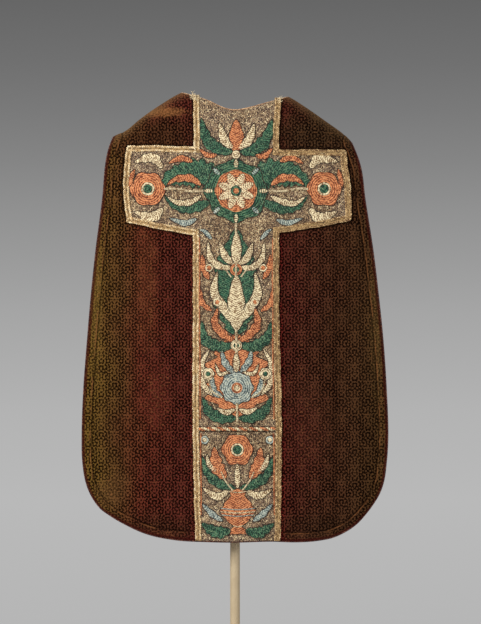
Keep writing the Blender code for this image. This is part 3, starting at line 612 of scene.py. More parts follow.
def makeWearAndShadePatch():  # a soft oval on the object's own x and z
    tree, given, result = newGroup(
        "wearAndShadePatch",
        [("Vector", "NodeSocketVector", None), ("Centre X", "NodeSocketFloat", 0.0),
         ("Centre Height", "NodeSocketFloat", 1.0), ("Reach X", "NodeSocketFloat", 0.05),
         ("Reach Height", "NodeSocketFloat", 0.1), ("Ragged", "NodeSocketFloat", 0.6)],
        [("Mask", "NodeSocketFloat")],
    )
    x, _, z = splitVector(tree, given["Vector"])
    a = calc(tree, "DIVIDE", calc(tree, "SUBTRACT", x, given["Centre X"]), given["Reach X"])
    b = calc(tree, "DIVIDE", calc(tree, "SUBTRACT", z, given["Centre Height"]), given["Reach Height"])
    reach = calc(tree, "SQRT", calc(tree, "ADD", calc(tree, "MULTIPLY", a, a), calc(tree, "MULTIPLY", b, b)))
    rag = calc(tree, "SUBTRACT", noiseOf(tree, given["Vector"], 38, 4, 0.6), 0.5)
    reach = calc(tree, "MULTIPLY_ADD", rag, given["Ragged"], reach)
    tree.links.new(rangeOf(tree, reach, 1.15, 0.25), result["Mask"])
    return tree


def makePlainWeave():  # crossing threads on the first two directions of the vector
    tree, given, result = newGroup(
        "plainWeave",
        [("Vector", "NodeSocketVector", None), ("Pitch", "NodeSocketFloat", 0.0008)],
        [("Height", "NodeSocketFloat"), ("Slub", "NodeSocketFloat")],
    )
    u, v, _ = splitVector(tree, given["Vector"])
    a = calc(tree, "SINE", calc(tree, "MULTIPLY", calc(tree, "DIVIDE", u, given["Pitch"]), 3.1416))
    b = calc(tree, "SINE", calc(tree, "MULTIPLY", calc(tree, "DIVIDE", v, given["Pitch"]), 3.1416))
    height = calc(tree, "MULTIPLY_ADD", calc(tree, "MULTIPLY", a, b), 0.5, 0.5)
    stretched = joinVector(tree, calc(tree, "MULTIPLY", u, 60.0), calc(tree, "MULTIPLY", v, 900.0))
    crossed = joinVector(tree, calc(tree, "MULTIPLY", u, 900.0), calc(tree, "MULTIPLY", v, 60.0))
    slub = calc(tree, "MULTIPLY", calc(tree, "ADD", noiseOf(tree, stretched, 1.0, 2), noiseOf(tree, crossed, 1.0, 2)), 0.5)
    tree.links.new(height, result["Height"])
    tree.links.new(slub, result["Slub"])
    return tree


groups = {
    "rows": makeThreadRows(), "ground": makeCouchedGround(), "repeat": makeSmallRepeat(),
    "patch": makeWearAndShadePatch(), "weave": makePlainWeave(),
}
print("shader groups made")


def newMaterial(name, roughness=0.7, metallic=0.0, **constants):
    material = bpy.data.materials.new(name)
    material.use_nodes = True
    tree = material.node_tree
    shader = tree.nodes["Principled BSDF"]
    shader.inputs["Roughness"].default_value = roughness
    shader.inputs["Metallic"].default_value = metallic
    for label, value in constants.items():
        shader.inputs[label.replace("_", " ")].default_value = value
    return material, tree, shader


def mapOf(tree, name):
    return addNode(tree, "ShaderNodeUVMap", uv_map=name).outputs[0]


def attributeOf(tree, name):
    return addNode(tree, "ShaderNodeAttribute", attribute_name=name).outputs["Fac"]


def objectSpace(tree):
    return addNode(tree, "ShaderNodeTexCoord").outputs["Object"]


def finishMaterial(tree, shader, colour, height, strength, distance):
    bump = addNode(tree, "ShaderNodeBump", {"Strength": strength, "Distance": distance, "Height": height})
    tree.links.new(bump.outputs[0], shader.inputs["Normal"])
    tree.links.new(colour, shader.inputs["Base Color"])


def threadMaterial(
    name, light, dark, pitch=0.0054, wave=0.0026, stitch=0.009, group="rows", soil=0.35, roughness=0.6, speckle=4.6,
):
    material, tree, shader = newMaterial(name, roughness, 0.0, Sheen_Weight=0.08, Specular_IOR_Level=0.3)
    values = {"Vector": mapOf(tree, "cloth")}
    if group == "rows":
        values.update({"Row Pitch": pitch, "Waviness": wave, "Stitch Length": stitch})
    else:
        values.update({"Pitch": pitch})
    rows = useGroup(tree, groups[group], values)
    lump = calc(tree, "SUBTRACT", noiseOf(tree, objectSpace(tree), 240, 3, 0.7), 0.5)
    grain = calc(tree, "MULTIPLY_ADD", calc(tree, "SUBTRACT", rows["Fleck"], 0.5), 1.3, calc(tree, "MULTIPLY", lump, speckle))
    # painted highlight on each row's crest and painted shade in the furrows between rows, following the relief
    tone = calc(tree, "MULTIPLY_ADD", rows["Ridge"], 0.80, calc(tree, "ADD", grain, 0.06), clamp=True)
    colour = blendColour(tree, tone, srgb(*dark), srgb(*light))
    if group == "ground":
        cool = rangeOf(tree, noiseOf(tree, objectSpace(tree), 11, 2), 0.42, 0.62, (0.0, 0.55))
        colour = blendColour(tree, calc(tree, "MULTIPLY", cool, rangeOf(tree, tone, 0.0, 0.7)), colour, srgb(148, 128, 118))
    dull = rangeOf(tree, noiseOf(tree, objectSpace(tree), 32, 4, 0.6), 0.45, 0.75, (0.0, soil))
    colour = blendColour(tree, dull, colour, srgb(*[0.60 * d + 0.25 * l for d, l in zip(dark, light)]))
    bright = rangeOf(tree, lump, 0.02, 0.13, (0.0, 0.60))
    colour = blendColour(tree, bright, colour, srgb(*[mix(l, b, 0.42) for l, b in zip(light, (246, 214, 158))]))
    finishMaterial(tree, shader, colour, calc(tree, "MULTIPLY_ADD", lump, 0.8, rows["Height"]), 0.9, 0.0009)
    return material


def tintedMaterial(name, stops, roughness, metallic, rightShadeAndSoil=0.0, speckle=2.0):  # stitches that each have a shade of their own
    material, tree, shader = newMaterial(name, roughness, metallic, Specular_IOR_Level=0.4)
    x = splitVector(tree, objectSpace(tree))[0]
    drift = calc(tree, "SUBTRACT", noiseOf(tree, objectSpace(tree), 14, 3), 0.5)
    lump = calc(tree, "SUBTRACT", noiseOf(tree, objectSpace(tree), 420, 2, 0.6), 0.5)
    # darker towards the right side: painted shade together with soil
    tone = calc(tree, "SUBTRACT", attributeOf(tree, "tint"), rangeOf(tree, x, -0.05, 0.12, (0.0, rightShadeAndSoil)))
    tone = calc(tree, "MULTIPLY_ADD", drift, 0.9, tone)
    tone = calc(tree, "MULTIPLY_ADD", lump, speckle, tone, clamp=True)
    colour = rampOf(tree, tone, [(place, srgb(*shade)) for place, shade in stops])
    finishMaterial(tree, shader, colour, lump, 0.5, 0.0006)
    return material


def velvetMaterial(name, stops):
    material, tree, shader = newMaterial(
        name, 0.9, 0.0, Sheen_Weight=0.018, Sheen_Roughness=0.5, Sheen_Tint=srgb(190, 140, 90), Specular_IOR_Level=0.02
    )
    place = objectSpace(tree)
    uv = mapOf(tree, "cloth")
    x, _, z = splitVector(tree, place)
    drift = calc(tree, "SUBTRACT", noiseOf(tree, place, 7, 3), 0.5)
    across = calc(tree, "MULTIPLY_ADD", drift, 0.12, x)
    # tone across the cloth; its olive side edges are worn pile with painted sheen
    tone = rampOf(tree, calc(tree, "MULTIPLY_ADD", across, 1 / 0.76, 0.5), [(0.5 + p / 0.76, srgb(*c)) for p, c in stops])
    bare = 0.0
    # lighter patches are wear and count as bare; the darker ones on the shoulders and along the hem are painted shade
    for centreX, centreZ, reachX, reachZ, ragged, share, colour in velvet["patches"]:
        patch = useGroup(tree, groups["patch"], {
            "Vector": place, "Centre X": centreX, "Centre Height": centreZ,
            "Reach X": reachX, "Reach Height": reachZ, "Ragged": ragged,
        })["Mask"]
        patch = calc(tree, "MULTIPLY", patch, share)
        tone = blendColour(tree, patch, tone, srgb(*colour))
        if sum(colour) > 150:
            bare = calc(tree, "MAXIMUM", patch, bare)
    # painted highlight of the pile along the turn over the shoulders
    crown = attributeOf(tree, "crown")
    tone = blendColour(tree, calc(tree, "MULTIPLY", crown, 0.75), tone, srgb(*velvet["ridge"]))
    # painted highlight: the pile catching the light in a red strip beside the lower column's edging
    beside = calc(tree, "MULTIPLY", attributeOf(tree, "beside"), rangeOf(tree, noiseOf(tree, place, 60, 3), 0.3, 0.6))
    column = calc(tree, "MULTIPLY", rangeOf(tree, z, 1.20, 1.14), rangeOf(tree, x, -0.10, 0.10, (0.25, 0.75)))
    tone = blendColour(tree, calc(tree, "MULTIPLY", beside, column), tone, srgb(*velvet["pileEdgeHighlight"]))
    u, v, _ = splitVector(tree, uv)
    streaks = noiseOf(tree, joinVector(tree, calc(tree, "MULTIPLY", u, 70.0), calc(tree, "MULTIPLY", v, 260.0)), 1.0, 3, 0.6)
    nap = noiseOf(tree, uv, 110, 4, 0.7)
    tone = blendColour(tree, rangeOf(tree, nap, 0.30, 0.70, (0.35, 0.0)), tone, srgb(*velvet["shade"]))
    rubbed = calc(tree, "MULTIPLY", rangeOf(tree, streaks, 0.50, 0.72), calc(tree, "MULTIPLY_ADD", bare, 0.8, 0.22))
    tone = blendColour(tree, rubbed, tone, srgb(*velvet["rubbed"]))
    glint = rangeOf(tree, noiseOf(tree, uv, 560, 2, 0.7), 0.48, 0.66, (0.0, 0.20))
    tone = blendColour(tree, glint, tone, srgb(*velvet["glint"]))
    mask = useGroup(tree, groups["repeat"], {"Vector": uv})["Mask"]
    worn = rangeOf(tree, noiseOf(tree, place, 14, 4, 0.6), 0.35, 0.65, (1.0, 0.86))
    worn = calc(tree, "MULTIPLY", worn, calc(tree, "MULTIPLY_ADD", bare, -0.75, 1.0))
    worn = calc(tree, "MULTIPLY", worn, calc(tree, "MULTIPLY_ADD", crown, -0.6, 1.0))
    mask = calc(tree, "MULTIPLY", mask, worn)
    speck = calc(tree, "SUBTRACT", noiseOf(tree, uv, 400, 2, 0.8), 0.5)
    # painted contact shadow in the pile's dark colour, close beside the cross's edging, except where the red highlight
    # lies
    edge = calc(tree, "MULTIPLY", rangeOf(tree, attributeOf(tree, "beside"), 0.35, 0.80), rangeOf(tree, column, 0.4, 0.0))
    depth = calc(tree, "MAXIMUM", calc(tree, "MULTIPLY", mask, velvet["depth"]), calc(tree, "MULTIPLY", edge, 0.85))
    depth = calc(tree, "MULTIPLY_ADD", speck, 2.6, depth, clamp=True)
    colour = blendColour(tree, depth, tone, srgb(*velvet["pile"]))
    rim = calc(tree, "MULTIPLY_ADD", calc(tree, "SUBTRACT", noiseOf(tree, place, 45, 2), 0.5), 0.004, attributeOf(tree, "rim"))
    kept = rangeOf(tree, noiseOf(tree, place, 22, 3), 0.38, 0.62)
    fold = rangeOf(tree, calc(tree, "ABSOLUTE", calc(tree, "SUBTRACT", rim, velvet["hemLine"])), 0.0022, 0.0006)
    colour = blendColour(tree, calc(tree, "MULTIPLY", fold, calc(tree, "MULTIPLY", kept, 0.40)), colour, srgb(*velvet["rubbed"]))
    # painted shade: a dark line in the groove just inside the hem's turn
    under = rangeOf(tree, calc(tree, "ABSOLUTE", calc(tree, "SUBTRACT", rim, velvet["hemLine"] + 0.0035)), 0.0030, 0.0008)
    colour = blendColour(tree, calc(tree, "MULTIPLY", under, 0.6), colour, srgb(*velvet["pile"]))
    colour = blendColour(tree, rangeOf(tree, rim, 0.0075, 0.0035, (0.0, 0.75)), colour, srgb(*velvet["rimRed"]))
    fine = noiseOf(tree, uv, 1500, 2, 0.6)
    height = calc(tree, "MULTIPLY_ADD", mask, 0.7, calc(tree, "MULTIPLY", fine, 0.5))
    finishMaterial(tree, shader, colour, height, 0.6, 0.0008)
    return material


def weaveMaterial(name, light, dark, pitch, roughness=0.8, mapName=None):
    material, tree, shader = newMaterial(name, roughness, 0.0, Sheen_Weight=0.3)
    vector = mapOf(tree, mapName) if mapName else objectSpace(tree)
    weave = useGroup(tree, groups["weave"], {"Vector": vector, "Pitch": pitch})
    tone = calc(tree, "MULTIPLY_ADD", weave["Height"], 0.45, calc(tree, "MULTIPLY", weave["Slub"], 0.6), clamp=True)
    colour = blendColour(tree, tone, srgb(*dark), srgb(*light))
    blot = rangeOf(tree, noiseOf(tree, objectSpace(tree), 9, 4), 0.45, 0.75, (0.0, 0.3))
    colour = blendColour(tree, blot, colour, srgb(*dark))
    finishMaterial(tree, shader, colour, weave["Height"], 0.5, 0.0003)
    return material


def paintMaterial(name, light, dark):
    material, tree, shader = newMaterial(name, 0.5, 0.0, Coat_Weight=0.1, Coat_Roughness=0.4)
    place = objectSpace(tree)
    mottle = noiseOf(tree, place, 18, 5, 0.6)
    colour = blendColour(tree, rangeOf(tree, mottle, 0.35, 0.7, (0.0, 0.6)), srgb(*light), srgb(*dark))
    grain = noiseOf(tree, place, 900, 3)
    tree.links.new(rangeOf(tree, mottle, 0.3, 0.8, (0.42, 0.6)), shader.inputs["Roughness"])
    finishMaterial(tree, shader, colour, grain, 0.15, 0.0003)
    return material


velvet = {
    # tones across the cloth, as (x, colour): crimson by the cross, olive towards both side edges; the olive is worn
    # pile showing its ground together with painted sheen of the pile where the sides turn away
    "tones": [
        (-0.37, (112, 84, 33)), (-0.33, (105, 76, 32)), (-0.28, (98, 63, 32)), (-0.22, (101, 41, 28)),
        (-0.14, (95, 37, 30)), (0.12, (86, 33, 27)), (0.20, (82, 44, 30)), (0.28, (78, 48, 29)),
        (0.33, (81, 54, 30)), (0.37, (93, 65, 33)),
    ],
    # centre x, centre height, reach x, reach height, raggedness, share, colour
    "patches": [
        # the first four, darker just below the shoulder ridges and along the lower hem on each side, are painted shade
        (-0.190, 1.425, 0.120, 0.075, 0.8, 0.80, (66, 42, 22)),
        (0.190, 1.430, 0.130, 0.085, 0.8, 0.85, (58, 42, 24)),
        (-0.215, 0.462, 0.150, 0.050, 0.9, 0.65, (56, 34, 20)),
        (0.215, 0.462, 0.150, 0.050, 0.9, 0.65, (52, 34, 20)),
        (-0.215, 1.060, 0.034, 0.200, 1.1, 0.35, (112, 62, 34)),
        (-0.195, 0.790, 0.045, 0.110, 1.1, 0.40, (110, 42, 32)),
        (-0.175, 1.490, 0.070, 0.016, 0.9, 0.70, (150, 100, 56)),
        # olive strips along both side edges, here and at x 0.348: worn pile with painted sheen where the cloth turns
        # away
        (-0.342, 1.050, 0.018, 0.280, 0.8, 0.50, (128, 102, 44)),
        (-0.300, 0.560, 0.050, 0.060, 1.0, 0.40, (112, 78, 44)),
        (0.180, 0.700, 0.060, 0.160, 1.0, 0.25, (100, 38, 32)),
        (0.348, 1.000, 0.020, 0.280, 0.8, 0.40, (104, 84, 44)),
        (-0.200, 0.452, 0.110, 0.016, 0.8, 0.35, (108, 56, 38)),
        (0.200, 0.448, 0.110, 0.015, 0.8, 0.30, (96, 60, 40)),
    ],
    # ridge: a painted highlight of the pile on the shoulder ridges
    "ridge": (118, 88, 52),
    # painted highlight of the pile beside the lower column's edging
    "pileEdgeHighlight": (150, 30, 34),
    "shade": (40, 18, 10),
    "rubbed": (150, 96, 56),
    "glint": (136, 106, 76),
    "pile": (5, 0, 0),
    "rimRed": (56, 15, 12),
    "hemLine": 0.0185,
    "depth": 1.0,
}

threads = {
    "salmon": ((232, 144, 90), (112, 50, 26)),
    "green": ((58, 112, 82), (4, 22, 15)),
    "cream": ((255, 238, 194), (126, 88, 50)),
    "blue": ((192, 202, 188), (66, 80, 82)),
    "brown": ((66, 42, 30), (24, 14, 10)),
    "red": ((192, 72, 48), (104, 26, 20)),
}
threadNames = list(threads)
threadMaterials = [threadMaterial(name + "Thread", *threads[name]) for name in threadNames]
velvetCloth = velvetMaterial("velvet", velvet["tones"])
liningCloth = weaveMaterial("lining", (150, 96, 66), (92, 50, 36), 0.0008, mapName="cloth")
groundCloth = threadMaterial("couchedGround", (168, 136, 100), (50, 34, 26), 0.0048, group="ground", soil=0.4, speckle=3.4)
giltCloth = tintedMaterial("giltLoops", [
    (0.0, (52, 36, 28)), (0.25, (112, 88, 70)), (0.5, (152, 122, 92)), (0.75, (206, 172, 126)), (1.0, (252, 232, 186)),
], 0.42, 0.25, speckle=3.4)
braidCloth = threadMaterial(
    "braid", (196, 158, 104), (74, 52, 28), pitch=0.0040, wave=0.0010, stitch=0.006, speckle=2.0,
)
plaitCloth = tintedMaterial("plaitedLoops", [
    (0.0, (112, 78, 48)), (0.35, (196, 160, 108)), (0.7, (236, 206, 154)), (1.0, (252, 234, 194)),
], 0.45, 0.15, rightShadeAndSoil=0.38)
pipingCloth = threadMaterial("pipingCord", (92, 32, 24), (28, 6, 5), pitch=0.0028, wave=0.0002, stitch=0.004)
bindingCloth = threadMaterial("neckCord", (228, 184, 136), (132, 84, 54), pitch=0.0028, wave=0.0002, stitch=0.004)
jersey = weaveMaterial("formJersey", (214, 206, 188), (168, 158, 138), 0.0011)
standPaint = paintMaterial("standPaint", (196, 176, 142), (176, 154, 120))
print("materials made")


# The velvet panels
panel = {"cell": 0.0052, "thickness": 0.0020, "hemFold": 0.020, "hemSwell": 0.0006, "crownRows": 13, "crownShare": 0.055}


def panelGrid(side):  # x and z of a panel's points, row by row from its upper line to its hem
    low = (1 - np.cos(np.linspace(0, math.pi / 2, panel["crownRows"], endpoint=False))) * panel["crownShare"]
    rows = np.concatenate([low, np.linspace(panel["crownShare"], 1, int(1.05 / panel["cell"]))])
    ends = []
    for table, sign in ((side + "LeftEdge", -1), (side + "RightEdge", 1)):
        x = np.full_like(rows, sign * 0.29)
        for _ in range(30):
            z = mix(topLine(side, x), smooth(cut[side + "Hem"], x), rows)
            x = sign * smooth(cut[table], z)
        ends.append(x)
    left, right = ends[0][:, None], ends[1][:, None]
    corners = (ends[0][0], -cut["neckReach"], cut["neckReach"], ends[1][0])
    stops = [(c - corners[0]) / (corners[3] - corners[0]) for c in corners]
    columns = []
    for a, b in zip(stops[:-1], stops[1:]):
        count = int(round((b - a) * 0.70 / panel["cell"]))
        t = np.linspace(0, 1, count, endpoint=False)
        if a > 0 and b < 1:
            t = mix(t, 0.5 - 0.5 * np.cos(math.pi * t), 0.6)
        columns.append(a + (b - a) * t)
    columns = np.concatenate(columns + [[1.0]])
    x = left + (right - left) * columns[None]
    x[0][np.abs(np.abs(x[0]) - cut["neckReach"]) < 1e-6] *= 1.0000001
    z = mix(topLine(side, x), smooth(cut[side + "Hem"], x), rows[:, None])
    return x, z


def clothMap(side, x, z, middleRow):  # lengths along the cloth, so that a pattern follows it
    points = onCloth(side, x, z)
    across = np.zeros(x.shape)
    across[:, 1:] = np.cumsum(np.linalg.norm(np.diff(points, axis=1), axis=2), axis=1)
    centre = np.argmin(np.abs(x), axis=1)
    across -= across[np.arange(len(x)), centre][:, None] - x[np.arange(len(x)), centre][:, None]
    down = np.zeros(x.shape)
    down[1:] = np.cumsum(np.linalg.norm(np.diff(points, axis=0), axis=2), axis=0)
    down -= down[middleRow][None]
    return np.stack([x if side == "back" else -x, z[middleRow][None] - down], axis=-1), across


def nearness(x, z, outline, reach):  # 1 on an outline, fading to 0 at a distance from it
    points = np.stack([x.ravel(), z.ravel()], axis=1)
    nearest = np.full(len(points), 1e9)
    for start in range(0, len(points), 4000):
        part = points[start:start + 4000, None] - outline[None]
        nearest[start:start + 4000] = np.sqrt((part ** 2).sum(axis=2).min(axis=1))
    return np.clip(1 - nearest / reach, 0, 1).reshape(x.shape), nearest.reshape(x.shape)


def crossOutline():  # the cross over its edging, as one run down each side
    runs = []
    for side in (1, 2):
        sign = -1 if side == 1 else 1

        def columnX(z, side=side):
            return float(smooth(cut["column"], z, side))

        def endX(z, side=side):
            return float(smooth(cut["armEnds"], z, side))

        inner = columnX(1.40)
        neck = float(topLine("back", np.array(columnX(1.52))))
        top = [(columnX(z), z) for z in np.linspace(neck, float(smooth(cut["armTop"], inner)), 12)]
        outer = endX(1.40)
        armTop = [(x, float(smooth(cut["armTop"], x))) for x in np.linspace(inner, outer, 12)]
        armEnd = [(endX(z), z) for z in np.linspace(armTop[-1][1], float(smooth(cut["armBottom"], endX(1.22))), 12)]
        low = columnX(1.19)
        armLow = [(x, float(smooth(cut["armBottom"], x))) for x in np.linspace(armEnd[-1][0], low, 12)]
        hem = float(smooth(cut["backHem"], columnX(0.44)))
        column = [(columnX(z), z) for z in np.linspace(armLow[-1][1], hem, 30)]
        runs.append(densify(np.array(top[:-1] + armTop[:-1] + armEnd[:-1] + armLow[:-1] + column), 0.003))
    return runs


def makePanel(side):
    x, z = panelGrid(side)
    edge = np.concatenate([
        np.stack([x[:, 0], z[:, 0]], 1), np.stack([x[:, -1], z[:, -1]], 1), np.stack([x[-1], z[-1]], 1)
    ])
    _, distance = nearness(x, z, edge, 1.0)
    fold = ease((panel["hemFold"] + 0.004 - distance) / 0.006) * panel["hemSwell"]
    groove = -0.0006 * np.exp(-(((distance - panel["hemFold"] - 0.003) / 0.0028) ** 2))
    rounding = -0.0005 * ease(1 - distance / 0.004)
    pile = random.Random(7)
    lumps = sum(
        0.00018 * np.sin(x * pile.uniform(20, 120) + z * pile.uniform(-60, 60) + pile.uniform(0, 6.28)) for _ in range(6)
    )
    outer = fold + groove + rounding + lumps * 0.6
    uv, _ = clothMap(side, x, z, 60)
    obj = shell(side + "Panel", side, x, z, outer, -panel["thickness"] + lumps * 0.5, uv, [velvetCloth, liningCloth])
    size = x.size
    drop = smooth(cut["ridge"], x) - z
    # crown: the turn over the shoulder, where the velvet gets a painted highlight and its pattern is worn
    crown = np.clip(1 - drop / 0.030, 0, 1) ** 1.5
    # beside: nearness to the cross's outline, where the velvet gets painted contact shadow and a painted red highlight
    beside = np.zeros(x.shape)
    if side == "back":
        outline = np.concatenate(crossOutline())
        beside = nearness(x, z, outline, 0.012)[0]
    for label, values in (("crown", crown), ("beside", beside), ("rim", np.minimum(distance, 0.05))):
        attribute = obj.data.attributes.new(label, "FLOAT", "POINT")
        full = np.zeros(len(obj.data.vertices), dtype=np.float32)
        full[:size] = values.ravel()
        full[size:2 * size] = values.ravel()
        attribute.data.foreach_set("value", full)
    return obj, x, z


backPanel, backX, backZ = makePanel("back")
frontPanel, frontX, frontZ = makePanel("front")
print("velvet panels made")


# The embroidered cross
orphrey = {"cell": 0.0035, "base": 0.0003, "thickness": 0.0016, "edgeInset": 0.0012, "unevenness": 0.00018}


orphreyGrids = {}


def orphreyPanel(name, left, right, top, bottom, width, height):
    a = np.linspace(0, 1, int(width / orphrey["cell"]))[None]
    t = np.linspace(0, 1, int(height / orphrey["cell"]))[:, None]
    z = np.full((t.shape[0], a.shape[1]), 1.2)
    for _ in range(6):
        x = mix(left(z), right(z), a)
        z = mix(top(x), bottom(x), t)
    lumps = sum(
        np.sin(x * p + z * q + r) for p, q, r in ((210, 60, 0.3), (-90, 180, 1.1), (340, -260, 2.0), (130, 400, 4.0))
    )
    thickness = orphrey["base"] + orphrey["thickness"] + orphrey["unevenness"] * lumps * 0.5
    uv = np.stack([x, z], axis=-1)
    orphreyGrids[name] = (x, z)
    return shell(name, "back", x, z, thickness, orphrey["base"], uv, [groundCloth], 0.0003)


def edgeOf(table, column, inset):
    return lambda z: smooth(cut[table], z, column) + inset


def lineOf(table, inset=0.0):
    return lambda x: smooth(cut[table], x) + inset


inset = orphrey["edgeInset"]
leftEdge, rightEdge = edgeOf("column", 1, inset), edgeOf("column", 2, -inset)
orphreyPieces = {
    "orphreyColumn": orphreyPanel(
        "orphreyColumn", leftEdge, rightEdge, lambda x: topLine("back", x) - 0.0006,
        lambda x: np.full_like(x, cut["bandTop"] + 0.0002), 0.215, 0.80,
    ),
    "orphreyLower": orphreyPanel(
        "orphreyLower", leftEdge, rightEdge, lambda x: np.full_like(x, cut["bandTop"] - 0.0002),
        lineOf("backHem", 0.0006), 0.215, 0.28,
    ),
    "orphreyArmLeft": orphreyPanel(
        "orphreyArmLeft", edgeOf("armEnds", 1, inset), edgeOf("column", 1, inset - 0.0003), lineOf("armTop", -inset),
        lineOf("armBottom", inset), 0.17, 0.20,
    ),
    "orphreyArmRight": orphreyPanel(
        "orphreyArmRight", edgeOf("column", 2, 0.0003 - inset), edgeOf("armEnds", 2, -inset), lineOf("armTop", -inset),
        lineOf("armBottom", inset), 0.18, 0.20,
    ),
}
print("orphrey grounds made")


# Raised stitching on the cross. Sizes are in millimetres, measured from the column's centre line.
motif = {"base": 0.0021, "height": 0.0013, "outline": 0.0009, "rowPitch": 0.0054, "relief": 0.00038}
finishOf = {name: k for k, name in enumerate(threadNames)}
hand = random.Random(21)


def middleX(z):
    return float((smooth(cut["column"], z, 1) + smooth(cut["column"], z, 2)) / 2)


def place(points, side=1):  # millimetres from the centre line to metres, mirrored for side -1
    return [(middleX(z / 1000) + side * x / 1000, z / 1000) for x, z in points]


def profileWidth(s, widths):
    return np.interp(s, [w[0] for w in widths], [w[1] for w in widths])


def addLeaf(heap, spine, width, thread, lobes=0, outline="brown", height=1.0, widths=None, lift=0.0):
    path = curvePath(spine, 0.0016)
    n = len(path)
    s = np.linspace(0, 1, n)
    half = width / 2000 * np.sin(np.pi * np.clip(s, 0, 1) ** 0.8) ** 0.75
    if widths:
        half = profileWidth(s, widths) / 2000
    if lobes:
        half = half * (0.80 + 0.28 * np.abs(np.sin(np.pi * lobes * s)))
    sway = hand.uniform(0, 6.28)
    half = half * (1 + 0.05 * np.sin(19 * s + sway) + 0.03 * np.sin(43 * s + 2 * sway))
    half = np.maximum(half, 0.0004)[:, None]
    a = np.linspace(1, -1, 9)[None]
    across = half * a
    _, sofar = pathFrame(path)
    ends = np.clip(np.minimum(s, 1 - s) / 0.08, 0, 1)[:, None] ** 0.5
    base = motif["base"] + lift
    rows = -np.cos(2 * np.pi * (sofar[:, None] - 0.55 * np.abs(across)) / motif["rowPitch"])
    crown = motif["height"] * height * (1 - a**2) ** 0.5 * ends * np.clip(half / 0.004, 0.3, 1)
    vein = -0.0004 * np.exp(-((a / 0.14) ** 2)) * ends
    top = base + 0.0002 + crown + vein + motif["relief"] * rows * ends * (1 - a**4)
    under = np.full((n, 2), base - 0.0003)
    sections = np.concatenate([across, half * np.array([[-0.96, 0.96]])], axis=1)
    start = len(heap["uvs"])
    sweep(heap, path, sections, np.concatenate([top, under], axis=1), finishOf[thread])
    heap["uvs"][start][:, 1] -= 0.55 * np.abs(heap["uvs"][start][:, 0])
    direction, _ = pathFrame(path)
    loop = np.concatenate([path + direction * half, (path - direction * half)[::-1]])[::2]
    heap["outlines"].append(loop)
    if outline:
        keep = [0]
        for k in range(1, len(loop)):
            if np.linalg.norm(loop[k] - loop[keep[-1]]) > 0.0018:
                keep.append(k)
        addCordLine(heap, loop[keep], motif["outline"], finishOf[outline], base - 0.0002, 5, 1.0, closed=True)


def addDisc(heap, centre, radius, bands, lobes=0, lobeDepth=0.0, outline="brown", height=1.0, lift=0.0, squash=1.0):
    rings, sides = max(6, int(radius / 1.1)), max(24, int(radius * 1.4))
    reach = np.linspace(0, 1, rings + 1)[1:, None]
    turn = np.linspace(0, 2 * np.pi, sides, endpoint=False)[None]
    sway = hand.uniform(0, 6.28)
    uneven = 0.018 * np.cos(2 * turn + sway) + 0.014 * np.cos(5 * turn + 2 * sway)
    size = radius / 1000 * (1 + (lobeDepth * np.cos(lobes * turn) + uneven) * reach**2)
    r = reach * size
    x, z = centre[0] + r * np.cos(turn), centre[1] + r * np.sin(turn) * squash
    base = motif["base"] + lift
    dome = motif["height"] * height * np.sqrt(np.maximum(0, 1 - reach**6))
    top = base + 0.0002 + dome - motif["relief"] * 1.3 * np.cos(2 * np.pi * r / motif["rowPitch"]) * (reach < 0.97)
    points = onCloth("back", x, z, top)
    rim = onCloth("back", x[-1], z[-1], base - 0.0003)
    middle = onCloth("back", centre[0], centre[1], base + 0.0002 + motif["height"] * height).reshape(1, 3)
    size = rings * sides
    faces, finishes = [], []
    for j in range(sides):
        k = (j + 1) % sides
        faces.append((size + sides, j, k))
        finishes.append(finishOf[bands[0][1]])
        for i in range(rings - 1):
            faces.append((i * sides + j, (i + 1) * sides + j, (i + 1) * sides + k, i * sides + k))
            share = (i + 1.5) / rings
            finishes.append(finishOf[next(name for limit, name in bands if share <= limit)])
        faces.append(((rings - 1) * sides + j, size + j, size + k, (rings - 1) * sides + k))
        finishes.append(finishOf[bands[-1][1]])
    faces.append(tuple(size + j for j in range(sides - 1, -1, -1)))
    finishes.append(finishOf[bands[-1][1]])
    uv = np.stack(np.broadcast_arrays(turn * radius / 1600, r), axis=-1)
    uvs = np.concatenate([uv.reshape(-1, 2), uv[-1], [[0, 0]]])
    addToHeap(heap, np.concatenate([points.reshape(-1, 3), rim, middle]), faces, uvs, 0)
    heap["finish"][-len(faces):] = finishes
    loop = np.stack([x[-1], z[-1]], axis=1)
    heap["outlines"].append(loop)
    if outline:
        addCordLine(heap, loop, motif["outline"], finishOf[outline], base - 0.0002, 5, 1.0, closed=True)


def addStem(heap, points, radius, thread="cream"):
    addCordLine(heap, curvePath(points, 0.003), radius / 1000, finishOf[thread], motif["base"], 6, 0.8)


